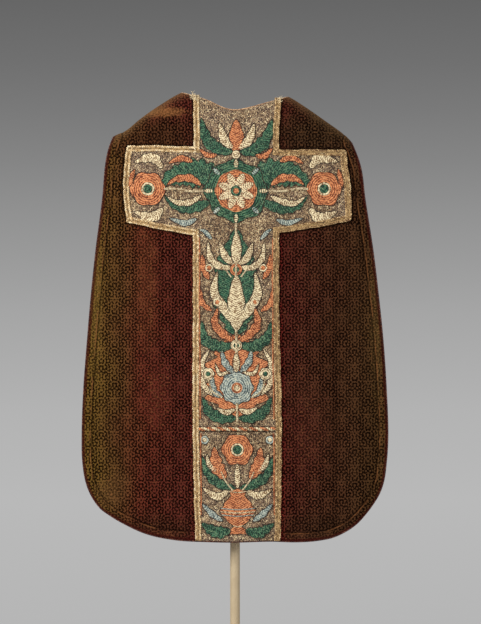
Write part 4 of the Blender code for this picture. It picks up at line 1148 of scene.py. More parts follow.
# leaves as (panel, spine, width, thread, lobes, mirrored, height share, raised by)
leaves = [
    ("column", [(0, 740), (0, 850), (0, 946)], 158, "salmon", 7, False, 0.40, 0.0002),
    ("column", [(0, 940), (0, 1080), (0, 1206)], 104, "green", 9, False, 0.40, 0.0002),
    ("column", [(2, 738), (34, 738), (66, 752), (86, 790)], 30, "green", 5, True, 1.0, 0),
    ("column", [(58, 792), (84, 826), (84, 872), (62, 910)], 18, "cream", 4, True, 1.0, 0),
    ("column", [(4, 760), (26, 752), (52, 764)], 14, "cream", 0, True, 1.1, 0.0006),
    ("column", [(0, 850), (0, 900)], 18, "cream", 0, False, 1.3, 0.0004),
    ("column", [(8, 848), (30, 874), (36, 906)], 17, "blue", 3, True, 1.2, 0),
    ("column", [(34, 790), (56, 806), (62, 846)], 17, "blue", 3, True, 1.1, 0),
    ("column", [(14, 852), (40, 846), (54, 872)], 10, "cream", 0, True, 1.1, 0.0004),
    ("column", [(4, 918), (40, 914), (76, 934), (84, 976)], 32, "green", 6, True, 1.2, 0),
    ("column", [(5, 926), (30, 940), (52, 972), (44, 1012)], 22, "salmon", 5, True, 1.1, 0.0004),
    ("column", [(60, 1000), (84, 1020), (88, 1056)], 16, "salmon", 3, True, 1.0, 0),
    ("column", [(0, 952), (0, 1020), (0, 1092)], 44, "cream", 0, False, 1.3, 0.0004),
    ("column", [(6, 968), (30, 1004), (52, 1046), (46, 1098)], 26, "cream", 0, True, 1.2, 0.0004),
    ("column", [(66, 1078), (80, 1104), (84, 1140)], 17, "salmon", 3, True, 1.0, 0),
    ("column", [(0, 1112), (0, 1196)], 26, "cream", 0, False, 1.2, 0.0004),
    ("column", [(4, 1112), (26, 1134), (42, 1170)], 19, "cream", 0, True, 1.1, 0.0004),
    ("column", [(6, 1108), (38, 1108), (62, 1130), (70, 1172)], 18, "cream", 4, True, 1.1, 0.0002),
    ("column", [(60, 1176), (78, 1196), (90, 1200)], 12, "blue", 0, True, 1.0, 0),
    ("column", [(0, 1386), (0, 1472)], 40, "salmon", 0, False, 1.1, 0),
    ("column", [(6, 1392), (42, 1396), (74, 1424), (88, 1474)], 32, "green", 5, True, 1.1, 0),
    ("column", [(6, 1398), (30, 1420), (44, 1462)], 22, "cream", 4, True, 1.1, 0.0002),
    ("column", [(46, 1384), (70, 1382), (92, 1402)], 15, "salmon", 3, True, 1.0, 0),
    ("lower", [(4, 566), (38, 574), (72, 600), (86, 646)], 26, "green", 5, True, 1.1, 0),
    ("lower", [(20, 560), (50, 546), (86, 566)], 20, "cream", 4, True, 1.0, 0),
    ("lower", [(28, 588), (50, 622), (56, 668)], 32, "salmon", 4, True, 1.1, 0.0002),
    ("lower", [(48, 604), (68, 624), (76, 652)], 14, "cream", 0, True, 1.0, 0.0002),
    ("lower", [(18, 462), (54, 458), (90, 480)], 30, "green", 5, True, 1.0, 0),
    ("lower", [(36, 484), (60, 500), (88, 530)], 16, "blue", 3, True, 1.0, 0),
    ("lower", [(0, 566), (0, 628)], 16, "cream", 0, False, 1.0, 0),
    ("arm", [(20, 1318), (90, 1338), (150, 1330), (186, 1306)], 66, "green", 9, True, 0.40, 0.0002),
    ("arm", [(60, 1270), (104, 1256), (146, 1258), (178, 1284)], 30, "green", 6, True, 0.45, 0.0002),
    ("arm", [(84, 1308), (112, 1326), (146, 1324), (170, 1308)], 20, "salmon", 4, True, 1.1, 0.0002),
    ("arm", [(84, 1284), (112, 1268), (146, 1266), (172, 1284)], 17, "cream", 4, True, 1.1, 0.0004),
    ("arm", [(106, 1366), (136, 1376), (168, 1362)], 18, "salmon", 3, True, 1.0, 0),
    ("arm", [(96, 1226), (126, 1216), (164, 1228)], 16, "blue", 3, True, 1.0, 0),
    ("arm", [(180, 1350), (206, 1376), (252, 1366)], 26, "cream", 5, True, 1.0, 0),
    ("arm", [(180, 1252), (206, 1230), (250, 1244)], 26, "cream", 5, True, 1.0, 0),
    ("arm", [(250, 1350), (258, 1318), (252, 1278)], 14, "salmon", 3, True, 1.0, 0),
]

# discs as (panel, centre, radius, bands, lobes, lobe depth, mirrored, height share, raised by)
discs = [
    ("column", (0, 812), 40, [(0.20, "cream"), (0.34, "salmon"), (1.0, "blue")], 8, 0.06, False, 1.4, 0),
    ("column", (70, 846), 15, [(0.4, "green"), (1.0, "cream")], 6, 0.10, True, 1.1, 0.0004),
    ("column", (0, 916), 14, [(0.5, "green"), (1.0, "cream")], 0, 0.0, False, 1.3, 0.0006),
    ("column", (46, 1022), 11, [(0.5, "salmon"), (1.0, "cream")], 5, 0.10, True, 1.1, 0.0006),
    ("column", (0, 1102), 15, [(0.5, "green"), (1.0, "salmon")], 0, 0.0, False, 1.3, 0.0006),
    ("column", (66, 1106), 10, [(0.5, "salmon"), (1.0, "cream")], 5, 0.12, True, 1.1, 0),
    ("column", (0, 1295), 76, [(0.66, "salmon"), (1.0, "green")], 8, 0.05, False, 0.8, 0.0002),
    ("column", (0, 1384), 11, [(1.0, "cream")], 0, 0.0, False, 1.3, 0.0006),
    ("lower", (0, 660), 38, [(0.28, "green"), (0.42, "cream"), (1.0, "salmon")], 6, 0.07, False, 1.3, 0),
    ("lower", (80, 684), 11, [(0.5, "cream"), (1.0, "blue")], 5, 0.10, True, 1.0, 0),
    ("arm", (216, 1300), 42, [(0.26, "green"), (0.40, "cream"), (1.0, "salmon")], 6, 0.06, True, 1.2, 0.0004),
]

# stems as (panel, points, radius, thread, mirrored)
stems = [
    ("column", [(0, 730), (0, 774)], 3.0, "cream", False),
    ("column", [(0, 890), (0, 965)], 3.0, "cream", False),
    ("column", [(0, 1084), (0, 1118)], 3.0, "cream", False),
    ("column", [(0, 1190), (0, 1216)], 3.0, "cream", False),
    ("column", [(36, 788), (60, 804), (70, 834)], 2.0, "cream", True),
    ("column", [(12, 1084), (36, 1112), (62, 1110)], 1.9, "cream", True),
    ("column", [(90, 735), (90, 800), (89, 900), (90, 1010), (89, 1100), (90, 1180)], 1.8, "salmon", True),
    ("lower", [(90, 500), (89, 560), (90, 640), (89, 700)], 1.8, "salmon", True),
    ("lower", [(12, 560), (30, 584), (40, 606)], 2.0, "cream", True),
    ("arm", [(80, 1295), (110, 1294), (150, 1300), (176, 1300)], 2.8, "cream", True),
]

heaps = {name: newHeap() for name in ("column", "lower", "armLeft", "armRight")}


def heapFor(panelName, side):
    return heaps[{"arm": "armLeft" if side < 0 else "armRight"}.get(panelName, panelName)]


for panelName, spine, width, thread, lobes, mirrored, height, raised in leaves:
    for side in (-1, 1) if mirrored else (1,):
        jitter = [(x + hand.uniform(-1.4, 1.4), z + hand.uniform(-1.6, 1.6)) for x, z in spine]
        addLeaf(
            heapFor(panelName, side), place(jitter, side), width * hand.uniform(0.93, 1.07), thread, lobes,
            height=height, lift=raised if height < 0.5 else raised + 0.0003,
        )
for panelName, centre, radius, bands, lobes, depth, mirrored, height, raised in discs:
    for side in (-1, 1) if mirrored else (1,):
        addDisc(
            heapFor(panelName, side), place([centre], side)[0], radius, bands, lobes, depth, height=height, lift=raised + 0.0003,
        )
for panelName, points, radius, thread, mirrored in stems:
    for side in (-1, 1) if mirrored else (1,):
        addStem(heapFor(panelName, side), place(points, side), radius, thread)

# the rose at the crossing and a vase below
for k in range(8):
    turn = math.pi / 4 * (k + 0.5) + hand.uniform(-0.04, 0.04)
    spine = [(r * math.cos(turn), 1295 + r * math.sin(turn)) for r in (9, 26, 47)]
    addLeaf(heaps["column"], place(spine), 24, "cream", 0, lift=0.0008, height=1.2)
for k in range(8):
    turn = math.pi / 4 * k
    spine = [(r * math.cos(turn), 1295 + r * math.sin(turn)) for r in (56, 68, 80)]
    addLeaf(heaps["column"], place(spine), 12, "blue" if k % 2 else "cream", 0, lift=0.0007)
addDisc(heaps["column"], place([(0, 1295)])[0], 13, [(0.5, "salmon"), (1.0, "green")], lift=0.0018, height=1.2)
vaseWidths = [(0, 52), (0.08, 44), (0.18, 18), (0.30, 58), (0.50, 86), (0.68, 70), (0.84, 30), (0.94, 50), (1, 52)]
addLeaf(heaps["lower"], place([(0, 452), (0, 508), (0, 566)]), 60, "salmon", widths=vaseWidths, height=1.4)
for level, reach, thread in ((472, 12, "cream"), (498, 39, "blue"), (506, 42, "cream"), (514, 41, "blue"), (556, 22, "cream")):
    addCordLine(
        heaps["lower"], curvePath(place([(-reach, level + 2), (0, level - 1), (reach, level + 2)])), 0.0014,
        finishOf[thread], motif["base"] + 0.0010, 6, 0.9,
    )
embroidery = {
    name: heapToObject("embroidery" + name[0].upper() + name[1:], heap, threadMaterials)
    for name, heap in heaps.items()
}
print("embroidery made")


# Galloon round the cross, and the twisted cord across the column
galloon = {"width": 0.015, "base": 0.0003, "pitch": 0.0030}
galloonSection = np.array([
    (-7.3, 0.2), (-7.5, 1.6), (-7.3, 3.0), (-6.4, 3.9), (-4.9, 4.2), (-3.4, 3.9), (-2.5, 3.1), (-2.0, 2.9), (-1.2, 3.3),
    (1.0, 3.5), (3.6, 3.5), (4.4, 3.1), (4.9, 3.2), (5.6, 3.9), (6.6, 3.9), (7.3, 3.3), (7.4, 2.4), (7.2, 2.0), (0, 2.0),
]) / 1000


def galloonPath(run, side):  # the middle of the galloon, half its width inside the cross's outline
    direction, sofar = pathFrame(run)
    wander = 0.0006 * np.sin(sofar * 75 + side) + 0.0004 * np.sin(sofar * 190 + 2 * side)
    return run + direction * (galloon["width"] / 2 * side + wander)[:, None]


galloonPieces, galloonPaths = {}, {}
for name, run, side in (("galloonLeft", crossOutline()[0], 1), ("galloonRight", crossOutline()[1], -1)):
    path = galloonPath(run, side)
    section = galloonSection * (-side, 1)
    heap = newHeap()
    n = len(path)
    wander = 0.0003 * np.sin(np.arange(n) * 0.21)[:, None]
    sweep(
        heap, path, np.repeat(section[None, :, 0], n, axis=0) + wander,
        np.repeat(section[None, :, 1], n, axis=0), 0, uvMode="across",
    )
    galloonPieces[name] = heapToObject(name, heap, [braidCloth], smoothAngle=70)
    galloonPaths[name] = path

rope = {"radius": 0.0032, "twistRadius": 0.0019, "pitch": 0.026, "strands": ["cream", "salmon"]}
heap = newHeap()
bandZ = cut["bandTop"] - cut["bandHeight"] / 2
ropeX = np.arange(
    float(smooth(cut["column"], bandZ, 1)) + galloon["width"] + 0.0002,
    float(smooth(cut["column"], bandZ, 2)) - galloon["width"] - 0.0002, 0.0012,
)
for k, strand in enumerate(rope["strands"]):
    turn = 2 * np.pi * (ropeX / rope["pitch"] + k / len(rope["strands"]))
    path = np.stack([ropeX, bandZ + rope["twistRadius"] * np.cos(turn)], axis=1)
    across, lift = roundSection(len(path), rope["radius"], 8, -0.0004)
    lift = lift + (0.0021 + rope["twistRadius"] * (1 + np.sin(turn)))[:, None]
    sweep(heap, path, across, lift, finishOf[strand])
for level in (bandZ + 0.0053, bandZ - 0.0053):
    addCordLine(heap, densify([(ropeX[0], level), (ropeX[-1], level)], 0.004), 0.0009, finishOf["brown"], 0.0019, 6)
bandCord = heapToObject("bandCord", heap, threadMaterials)
print("galloon made")


# Piping along the free edges and a cord round the neck
def sideEdge(side, x, z, rows):  # places just outside a run of a panel's border, at mid wall
    outer = onCloth(side, x, z)
    inner = onCloth(side, x, z, -panel["thickness"])
    middle = (outer + inner) / 2
    return [(middle[i, j], middle[a, b]) for (i, j), (a, b) in rows]


def besideEdge(side, x, z, rim, distance):
    places = []
    for border, within in sideEdge(side, x, z, rim):
        away = border - within
        places.append(border + away / np.linalg.norm(away) * distance)
    return places


def borderRim(shape):  # pairs of a border point and the point just inside it
    rows, columns = shape
    down = [((i, 0), (i, 1)) for i in range(0, rows - 1)]
    along = [((rows - 1, j), (rows - 2, j)) for j in range(0, columns)]
    up = [((i, columns - 1), (i, columns - 2)) for i in range(rows - 2, -1, -1)]
    return down + along + up


def neckRim(x):
    inside = [j for j in range(x.shape[1]) if abs(x[0, j]) <= cut["neckReach"] + 1e-4]
    return [((0, j), (1, j)) for j in inside]


def tubeRing(name, ring, radius, sides, material):  # a closed tube through a ring of places
    ring = np.array(ring)
    keep = [0]
    for k in range(1, len(ring)):
        if np.linalg.norm(ring[k] - ring[keep[-1]]) > 0.0025:
            keep.append(k)
    ring = ring[keep]
    for _ in range(2):
        ring = (np.roll(ring, 1, axis=0) + 2 * ring + np.roll(ring, -1, axis=0)) / 4
    tangent = np.roll(ring, -1, axis=0) - np.roll(ring, 1, axis=0)
    tangent /= np.linalg.norm(tangent, axis=1, keepdims=True)
    up = np.zeros_like(ring)
    carried = np.array([0.0, 1.0, 0.0])
    for k in range(len(ring)):
        carried = carried - tangent[k] * np.dot(carried, tangent[k])
        carried /= np.linalg.norm(carried)
        up[k] = carried
    other = np.cross(tangent, up)
    length = np.concatenate([[0], np.cumsum(np.linalg.norm(np.diff(ring, axis=0), axis=1))])
    heap = newHeap()
    n = len(ring)
    turn = np.linspace(0, 2 * np.pi, sides, endpoint=False)
    points = ring[:, None] + radius * (np.cos(turn)[None, :, None] * up[:, None] + np.sin(turn)[None, :, None] * other[:, None])
    faces = [
        (i * sides + j, i * sides + (j + 1) % sides, ((i + 1) % n) * sides + (j + 1) % sides, ((i + 1) % n) * sides + j)
        for i in range(n) for j in range(sides)
    ]
    uv = np.stack([np.repeat(length[:, None], sides, 1), length[:, None] + turn[None] * 0.0011], axis=-1)
    addToHeap(heap, points, faces, uv, 0)
    return heapToObject(name, heap, [material])


pipingRing = besideEdge("back", backX, backZ, borderRim(backX.shape), 0.0014)
pipingRing += besideEdge("front", frontX, frontZ, borderRim(frontX.shape), 0.0014)[::-1]
edgePiping = tubeRing("edgePiping", pipingRing, 0.0017, 8, pipingCloth)
neckRing = besideEdge("back", backX, backZ, neckRim(backX), 0.0012)
neckRing += besideEdge("front", frontX, frontZ, neckRim(frontX), 0.0012)[::-1]
neckBinding = tubeRing("neckBinding", neckRing, 0.0018, 8, bindingCloth)
print("piping made")


# Plaited stitches on the galloon, set by geometry nodes along its path
plait = {"pitch": 0.0046, "length": 0.0029, "width": 0.00125, "depth": 0.0010, "tilt": 0.55, "seed": 5}


def addGeo(tree, kind, values=None, **settings):
    return addNode(tree, kind, values, **settings)


def makeStitchTree():
    tree = bpy.data.node_groups.new("stitchesAlongPath", "GeometryNodeTree")
    tree.interface.new_socket(name="Geometry", in_out="INPUT", socket_type="NodeSocketGeometry")
    for label, value in (("Length", plait["length"]), ("Width", plait["width"]), ("Depth", plait["depth"])):
        tree.interface.new_socket(name=label, in_out="INPUT", socket_type="NodeSocketFloat").default_value = value
    tree.interface.new_socket(name="Seed", in_out="INPUT", socket_type="NodeSocketInt").default_value = plait["seed"]
    tree.interface.new_socket(name="Material", in_out="INPUT", socket_type="NodeSocketMaterial")
    tree.interface.new_socket(name="Geometry", in_out="OUTPUT", socket_type="NodeSocketGeometry")
    given = tree.nodes.new("NodeGroupInput").outputs
    stitch = addGeo(tree, "GeometryNodeMeshUVSphere", {"Segments": 7, "Rings": 4, "Radius": 1.0})
    aim = addGeo(tree, "GeometryNodeInputNamedAttribute", {"Name": "aim"}, data_type="FLOAT_VECTOR")
    out = addGeo(tree, "GeometryNodeInputNamedAttribute", {"Name": "out"}, data_type="FLOAT_VECTOR")
    turn = addGeo(
        tree, "FunctionNodeAxesToRotation", {0: aim.outputs[0], 1: out.outputs[0]}, primary_axis="X", secondary_axis="Z"
    )
    uneven = addGeo(tree, "FunctionNodeRandomValue", {2: 0.85, 3: 1.15, "Seed": given["Seed"]}, data_type="FLOAT")
    size = addGeo(tree, "ShaderNodeCombineXYZ", {0: given["Length"], 1: given["Width"], 2: given["Depth"]})
    size = addGeo(tree, "ShaderNodeVectorMath", {0: size.outputs[0], "Scale": uneven.outputs[1]}, operation="SCALE")
    placed = addGeo(
        tree, "GeometryNodeInstanceOnPoints",
        {"Points": given["Geometry"], "Instance": stitch.outputs["Mesh"], "Rotation": turn.outputs[0], "Scale": size.outputs[0]},
    )
    real = addGeo(tree, "GeometryNodeRealizeInstances", {0: placed.outputs[0]})
    round_ = addGeo(tree, "GeometryNodeSetShadeSmooth", {0: real.outputs[0]})
    done = addGeo(tree, "GeometryNodeSetMaterial", {0: round_.outputs[0], "Material": given["Material"]})
    tree.links.new(done.outputs[0], tree.nodes.new("NodeGroupOutput").inputs[0])
    return tree


stitchTree = makeStitchTree()


def stitchesAt(name, x, z, lift, aimX, aimZ, material, length, width, depth, seed):
    points = onCloth("back", x, z, lift)
    ahead = onCloth("back", x + aimX * 0.001, z + aimZ * 0.001, lift)
    above = onCloth("back", x, z, lift + 0.001)
    data = bpy.data.meshes.new(name + "Points")
    data.from_pydata(points.tolist(), [], [])
    shades = np.random.default_rng(seed).beta(2.2, 1.6, len(points)).astype(np.float32)
    data.attributes.new("tint", "FLOAT", "POINT").data.foreach_set("value", shades)
    for label, values in (("aim", ahead - points), ("out", above - points)):
        values = values / np.linalg.norm(values, axis=1, keepdims=True)
        data.attributes.new(label, "FLOAT_VECTOR", "POINT").data.foreach_set("vector", values.astype(np.float32).ravel())
    carrier = bpy.data.objects.new(name + "Points", data)
    bpy.context.scene.collection.objects.link(carrier)
    modifier = carrier.modifiers.new("stitches", "NODES")
    modifier.node_group = stitchTree
    sockets = {item.name: item.identifier for item in stitchTree.interface.items_tree if item.in_out == "INPUT"}
    for label, value in (("Length", length), ("Width", width), ("Depth", depth), ("Seed", seed), ("Material", material)):
        modifier[sockets[label]] = value
    bpy.context.view_layer.update()
    evaluated = carrier.evaluated_get(bpy.context.evaluated_depsgraph_get())
    mesh = bpy.data.meshes.new_from_object(evaluated)
    mesh.name = name
    layer = mesh.uv_layers.get("cloth") or mesh.uv_layers.new(name="cloth")
    corners = np.zeros(len(mesh.loops), dtype=np.int32)
    mesh.loops.foreach_get("vertex_index", corners)
    coordinates = np.zeros(len(mesh.vertices) * 3, dtype=np.float32)
    mesh.vertices.foreach_get("co", coordinates)
    flat = coordinates.reshape(-1, 3)[:, [0, 2]]
    layer.data.foreach_set("uv", flat[corners].ravel())
    obj = bpy.data.objects.new(name, mesh)
    bpy.context.scene.collection.objects.link(obj)
    bpy.data.objects.remove(carrier)
    return obj


plaits = {}
for name, side in (("galloonLeft", 1), ("galloonRight", -1)):
    path = densify(galloonPaths[name], 0.0009)
    direction, sofar = pathFrame(path)
    sets = []
    for middle, aimTurn in ((-0.0052, 1.0), (0.0050, -1.0)):
        even = np.arange(0.003, sofar[-1] - 0.003, plait["pitch"] / 2)
        px, pz = (np.interp(even, sofar, path[:, k]) for k in (0, 1))
        dx, dz = (np.interp(even, sofar, direction[:, k]) for k in (0, 1))
        length = np.hypot(dx, dz)
        dx, dz = dx / length, dz / length
        row = np.where(np.arange(len(even)) % 2 == 0, 1.0, -1.0) * aimTurn
        across = side * (middle + row * 0.0010)
        sets.append((px + dx * across, pz + dz * across, dz + dx * row * plait["tilt"], -dx + dz * row * plait["tilt"]))
    x, z, aimX, aimZ = (np.concatenate(parts) for parts in zip(*sets))
    plaits[name] = stitchesAt(
        name.replace("galloon", "plait"), x, z, np.full(len(x), 0.0040), aimX, aimZ,
        plaitCloth, plait["length"], plait["width"], plait["depth"], plait["seed"],
    )
print("plaits made")


# Loops of gilt thread on the bare ground of the cross, scattered by geometry nodes
gilt = {"spacing": 0.0034, "density": 160000.0, "radius": 0.0036, "thickness": 0.00078, "bend": 1.9, "lift": 0.0021, "seed": 11}


def makeLoopTree():
    tree = bpy.data.node_groups.new("loopsOnCloth", "GeometryNodeTree")
    tree.interface.new_socket(name="Geometry", in_out="INPUT", socket_type="NodeSocketGeometry")
    for label, value in (
        ("Spacing", gilt["spacing"]), ("Density", gilt["density"]), ("Radius", gilt["radius"]),
        ("Thickness", gilt["thickness"]), ("Bend", gilt["bend"]),
    ):
        tree.interface.new_socket(name=label, in_out="INPUT", socket_type="NodeSocketFloat").default_value = value
    tree.interface.new_socket(name="Seed", in_out="INPUT", socket_type="NodeSocketInt").default_value = gilt["seed"]
    tree.interface.new_socket(name="Material", in_out="INPUT", socket_type="NodeSocketMaterial")
    tree.interface.new_socket(name="Geometry", in_out="OUTPUT", socket_type="NodeSocketGeometry")
    given = tree.nodes.new("NodeGroupInput").outputs
    bare = addGeo(tree, "GeometryNodeInputNamedAttribute", {"Name": "bare"}, data_type="FLOAT")
    spread = addGeo(
        tree, "GeometryNodeDistributePointsOnFaces",
        {"Mesh": given["Geometry"], "Distance Min": given["Spacing"], "Density Max": given["Density"],
         "Density Factor": bare.outputs[0], "Seed": given["Seed"]}, distribute_method="POISSON",
    )
    arc = addGeo(
        tree, "GeometryNodeCurveArc", {"Resolution": 4, "Radius": given["Radius"], "Sweep Angle": given["Bend"]},
    )
    shift = addGeo(tree, "ShaderNodeVectorMath", {0: (-0.6, -0.6, 0.0), "Scale": given["Radius"]}, operation="SCALE")
    arc = addGeo(tree, "GeometryNodeTransform", {"Geometry": arc.outputs[0], "Translation": shift.outputs[0]})
    ring = addGeo(tree, "GeometryNodeCurvePrimitiveCircle", {"Resolution": 4, "Radius": given["Thickness"]})
    loop = addGeo(
        tree, "GeometryNodeCurveToMesh", {"Curve": arc.outputs[0], "Profile Curve": ring.outputs[0], "Fill Caps": True}
    )
    placed = addGeo(
        tree, "GeometryNodeInstanceOnPoints",
        {"Points": spread.outputs["Points"], "Instance": loop.outputs[0], "Rotation": spread.outputs["Rotation"]},
    )
    turn = addGeo(tree, "FunctionNodeRandomValue", {2: 0.0, 3: 2 * math.pi, "Seed": given["Seed"]}, data_type="FLOAT")
    turn = addGeo(tree, "ShaderNodeCombineXYZ", {2: turn.outputs[1]})
    turned = addGeo(tree, "GeometryNodeRotateInstances", {"Instances": placed.outputs[0], "Rotation": turn.outputs[0]})
    shade = addGeo(tree, "FunctionNodeRandomValue", {2: 0.0, 3: 1.0, "Seed": 3}, data_type="FLOAT")
    shaded = addGeo(
        tree, "GeometryNodeStoreNamedAttribute",
        {"Geometry": turned.outputs[0], "Name": "tint", "Value": shade.outputs[1]}, data_type="FLOAT", domain="INSTANCE",
    )
    real = addGeo(tree, "GeometryNodeRealizeInstances", {0: shaded.outputs[0]})
    round_ = addGeo(tree, "GeometryNodeSetShadeSmooth", {0: real.outputs[0]})
    done = addGeo(tree, "GeometryNodeSetMaterial", {0: round_.outputs[0], "Material": given["Material"]})
    tree.links.new(done.outputs[0], tree.nodes.new("NodeGroupOutput").inputs[0])
    return tree


def insideAny(points, outlines):
    inside = np.zeros(len(points), dtype=bool)
    for outline in outlines:
        low, high = outline.min(axis=0), outline.max(axis=0)
        near = np.where(((points >= low) & (points <= high)).all(axis=1) & ~inside)[0]
        if not len(near):
            continue
        x, z = points[near, 0][:, None], points[near, 1][:, None]
        ax, az = outline[:, 0][None], outline[:, 1][None]
        bx, bz = np.roll(ax, -1, axis=1), np.roll(az, -1, axis=1)
        with np.errstate(divide="ignore", invalid="ignore"):
            crossing = ((az > z) != (bz > z)) & (x < ax + (bx - ax) * (z - az) / (bz - az))
        inside[near[crossing.sum(axis=1) % 2 == 1]] = True
    return inside


loopTree = makeLoopTree()
crossEdge = np.concatenate(crossOutline())
giltLoops = {}
for name, heapName in (
    ("orphreyColumn", "column"), ("orphreyLower", "lower"), ("orphreyArmLeft", "armLeft"), ("orphreyArmRight", "armRight"),
):
    x, z = orphreyGrids[name]
    points = onCloth("back", x, z, gilt["lift"])
    _, fromEdge = nearness(x, z, crossEdge, 1.0)
    outlines = heaps[heapName]["outlines"]
    for beside in {"armLeft": ["column"], "armRight": ["column"], "column": ["armLeft", "armRight"]}.get(heapName, []):
        outlines = outlines + heaps[beside]["outlines"]
    covered = insideAny(np.stack([x.ravel(), z.ravel()], axis=1), outlines).reshape(x.shape)
    inside = fromEdge > galloon["width"] + 0.0008
    across = (x > smooth(cut["column"], z, 1) - 0.001) & (x < smooth(cut["column"], z, 2) + 0.001)
    ends = (z < topLine("back", x) - 0.003) & (z > smooth(cut["backHem"], x) + 0.003)
    if name in ("orphreyColumn", "orphreyLower"):
        inside = (x > smooth(cut["column"], z, 1) + 0.0162) & (x < smooth(cut["column"], z, 2) - 0.0162) | (
            inside & (z < smooth(cut["armTop"], x)) & (z > smooth(cut["armBottom"], x)))
        ends &= np.abs(z - bandZ) > 0.0085
    bare = (inside & ends & ~covered).astype(np.float32)
    data = bpy.data.meshes.new(name + "Bare")
    data.from_pydata(points.reshape(-1, 3).tolist(), [], gridFaces(*x.shape))
    data.attributes.new("bare", "FLOAT", "POINT").data.foreach_set("value", bare.ravel())
    carrier = bpy.data.objects.new(name + "Bare", data)
    bpy.context.scene.collection.objects.link(carrier)
    modifier = carrier.modifiers.new("loops", "NODES")
    modifier.node_group = loopTree
    sockets = {item.name: item.identifier for item in loopTree.interface.items_tree if item.in_out == "INPUT"}
    modifier[sockets["Seed"]] = gilt["seed"] + len(giltLoops)
    modifier[sockets["Material"]] = giltCloth
    bpy.context.view_layer.update()
    mesh = bpy.data.meshes.new_from_object(carrier.evaluated_get(bpy.context.evaluated_depsgraph_get()))
    mesh.name = name.replace("orphrey", "loops")
    piece = bpy.data.objects.new(mesh.name, mesh)
    bpy.context.scene.collection.objects.link(piece)
    bpy.data.objects.remove(carrier)
    giltLoops[name] = piece
    print("loops on", name, len(mesh.polygons))
print("gilt loops made")


# Frayed ends of thread at the neck's corners
fray = {"radius": 0.00030, "sides": 4}
heap = newHeap()
tuft = random.Random(3)
for corner, count in ((-0.1000, 44), (-0.0920, 24), (0.1100, 16)):
    for _ in range(count):
        x = corner + tuft.uniform(-0.006, 0.005)
        z = float(topLine("back", np.array(x))) - tuft.uniform(0.0, 0.012)
        length = tuft.uniform(0.004, 0.011)
        lean = tuft.uniform(-1.3, 1.0)
        curl = tuft.uniform(-1.2, 1.2)
        points = []
        for t in np.linspace(0, 1, 5):
            angle = lean + curl * t
            points.append((x + math.sin(angle) * length * t, z + math.cos(angle) * length * t * 0.8))
        ridge = smooth(cut["ridge"], np.array([p[0] for p in points]))
        path = np.array([(p[0], min(p[1], r - 0.0004)) for p, r in zip(points, ridge)])
        across, lift = roundSection(len(path), fray["radius"], fray["sides"], 0.0)
        rise = 0.0042 + tuft.uniform(0.0, 0.003) * np.linspace(0, 1, len(path)) ** 2
        sweep(heap, path, across, lift + rise[:, None], 0)
frayedThreads = heapToObject("frayedThreads", heap, [threadMaterials[finishOf["cream"]]])
print("frayed threads made")


# The padded shoulder form
form = {"bottom": 1.345, "rise": 0.025, "inset": 0.0020, "thickness": 0.0020, "stations": 61, "around": 48}
scoop = [
    (-0.150, 1.5268), (-0.140, 1.5305), (-0.118, 1.5120), (-0.090, 1.4870), (-0.045, 1.4760), (0.000, 1.4720),
    (0.045, 1.4760), (0.090, 1.4820), (0.118, 1.5020), (0.140, 1.5205), (0.150, 1.5150),
]


def formSection(x, shrink=1.0):
    ridge = float(smooth(cut["ridge"], x))
    slope = float(smooth(cut["ridge"], x + 0.005) - smooth(cut["ridge"], x - 0.005)) / 0.01
    top = ridge - (form["thickness"] + form["inset"]) * math.hypot(1, slope)
    if abs(x) < 0.145:
        top = min(top, float(smooth(scoop, x)))
    bottom = form["bottom"] + form["rise"] * (abs(x) / 0.27) ** 4
    share = min(1.0, max(0.0, (abs(x) - 0.130) / 0.170))
    crown = mix(hang["crownAtNeck"], hang["crownAtShoulder"], share)
    depth = mix(hang["depthAtNeck"], hang["depthAtShoulder"], (abs(x) / 0.3) ** 2) - form["thickness"] - form["inset"] - 0.0035
    quarter = np.linspace(0, math.pi / 2, 9)
    ys = list(depth * np.sin(quarter))
    zs = list(top - crown * (1 - np.cos(quarter)))
    side = top - crown - 0.45 * (top - crown - bottom)
    for t in np.linspace(0.25, 1, 8):
        ys.append(depth * math.cos(t * math.pi / 2) ** 0.55 * (1 - 0.02 * t) if t < 1 else depth * 0.0)
        zs.append(mix(top - crown, bottom, t ** 0.9) if t < 1 else bottom)
    half = np.array([(y, z) for y, z in zip(ys, zs)])
    other = half[1:-1][::-1] * (-1, 1)
    ring = np.concatenate([half, other])
    middle = np.array([0.0, (top + bottom) / 2])
    return middle + (ring - middle) * shrink


heap = newHeap()
reachLeft, reachRight = -0.272, 0.262
xs = list(np.linspace(reachLeft, reachRight, form["stations"]))
rings = [(reachLeft - 0.009, 0.45), (reachLeft - 0.0075, 0.68), (reachLeft - 0.004, 0.88)]
rings += [(x, 1.0) for x in xs] + [(reachRight + 0.004, 0.88), (reachRight + 0.0075, 0.68), (reachRight + 0.009, 0.45)]
points = []
for x, shrink in rings:
    section = formSection(min(max(x, reachLeft), reachRight), shrink)
    points.append(np.stack([np.full(len(section), x), section[:, 0], section[:, 1]], axis=1))
points = np.array(points)
n, m = points.shape[:2]
faces = [
    (i * m + j, i * m + (j + 1) % m, (i + 1) * m + (j + 1) % m, (i + 1) * m + j) for i in range(n - 1) for j in range(m)
]
faces += [tuple(range(m - 1, -1, -1)), tuple((n - 1) * m + j for j in range(m))]
addToHeap(heap, points, faces, points[:, :, [0, 2]], 0)
shoulderForm = heapToObject("shoulderForm", heap, [jersey])
for node in ("pole", "base_plate", "pole_collar", "form_flange"):
    for socket in frame["nodes"][node].material_slots:
        socket.material = standPaint
print("form and stand made")


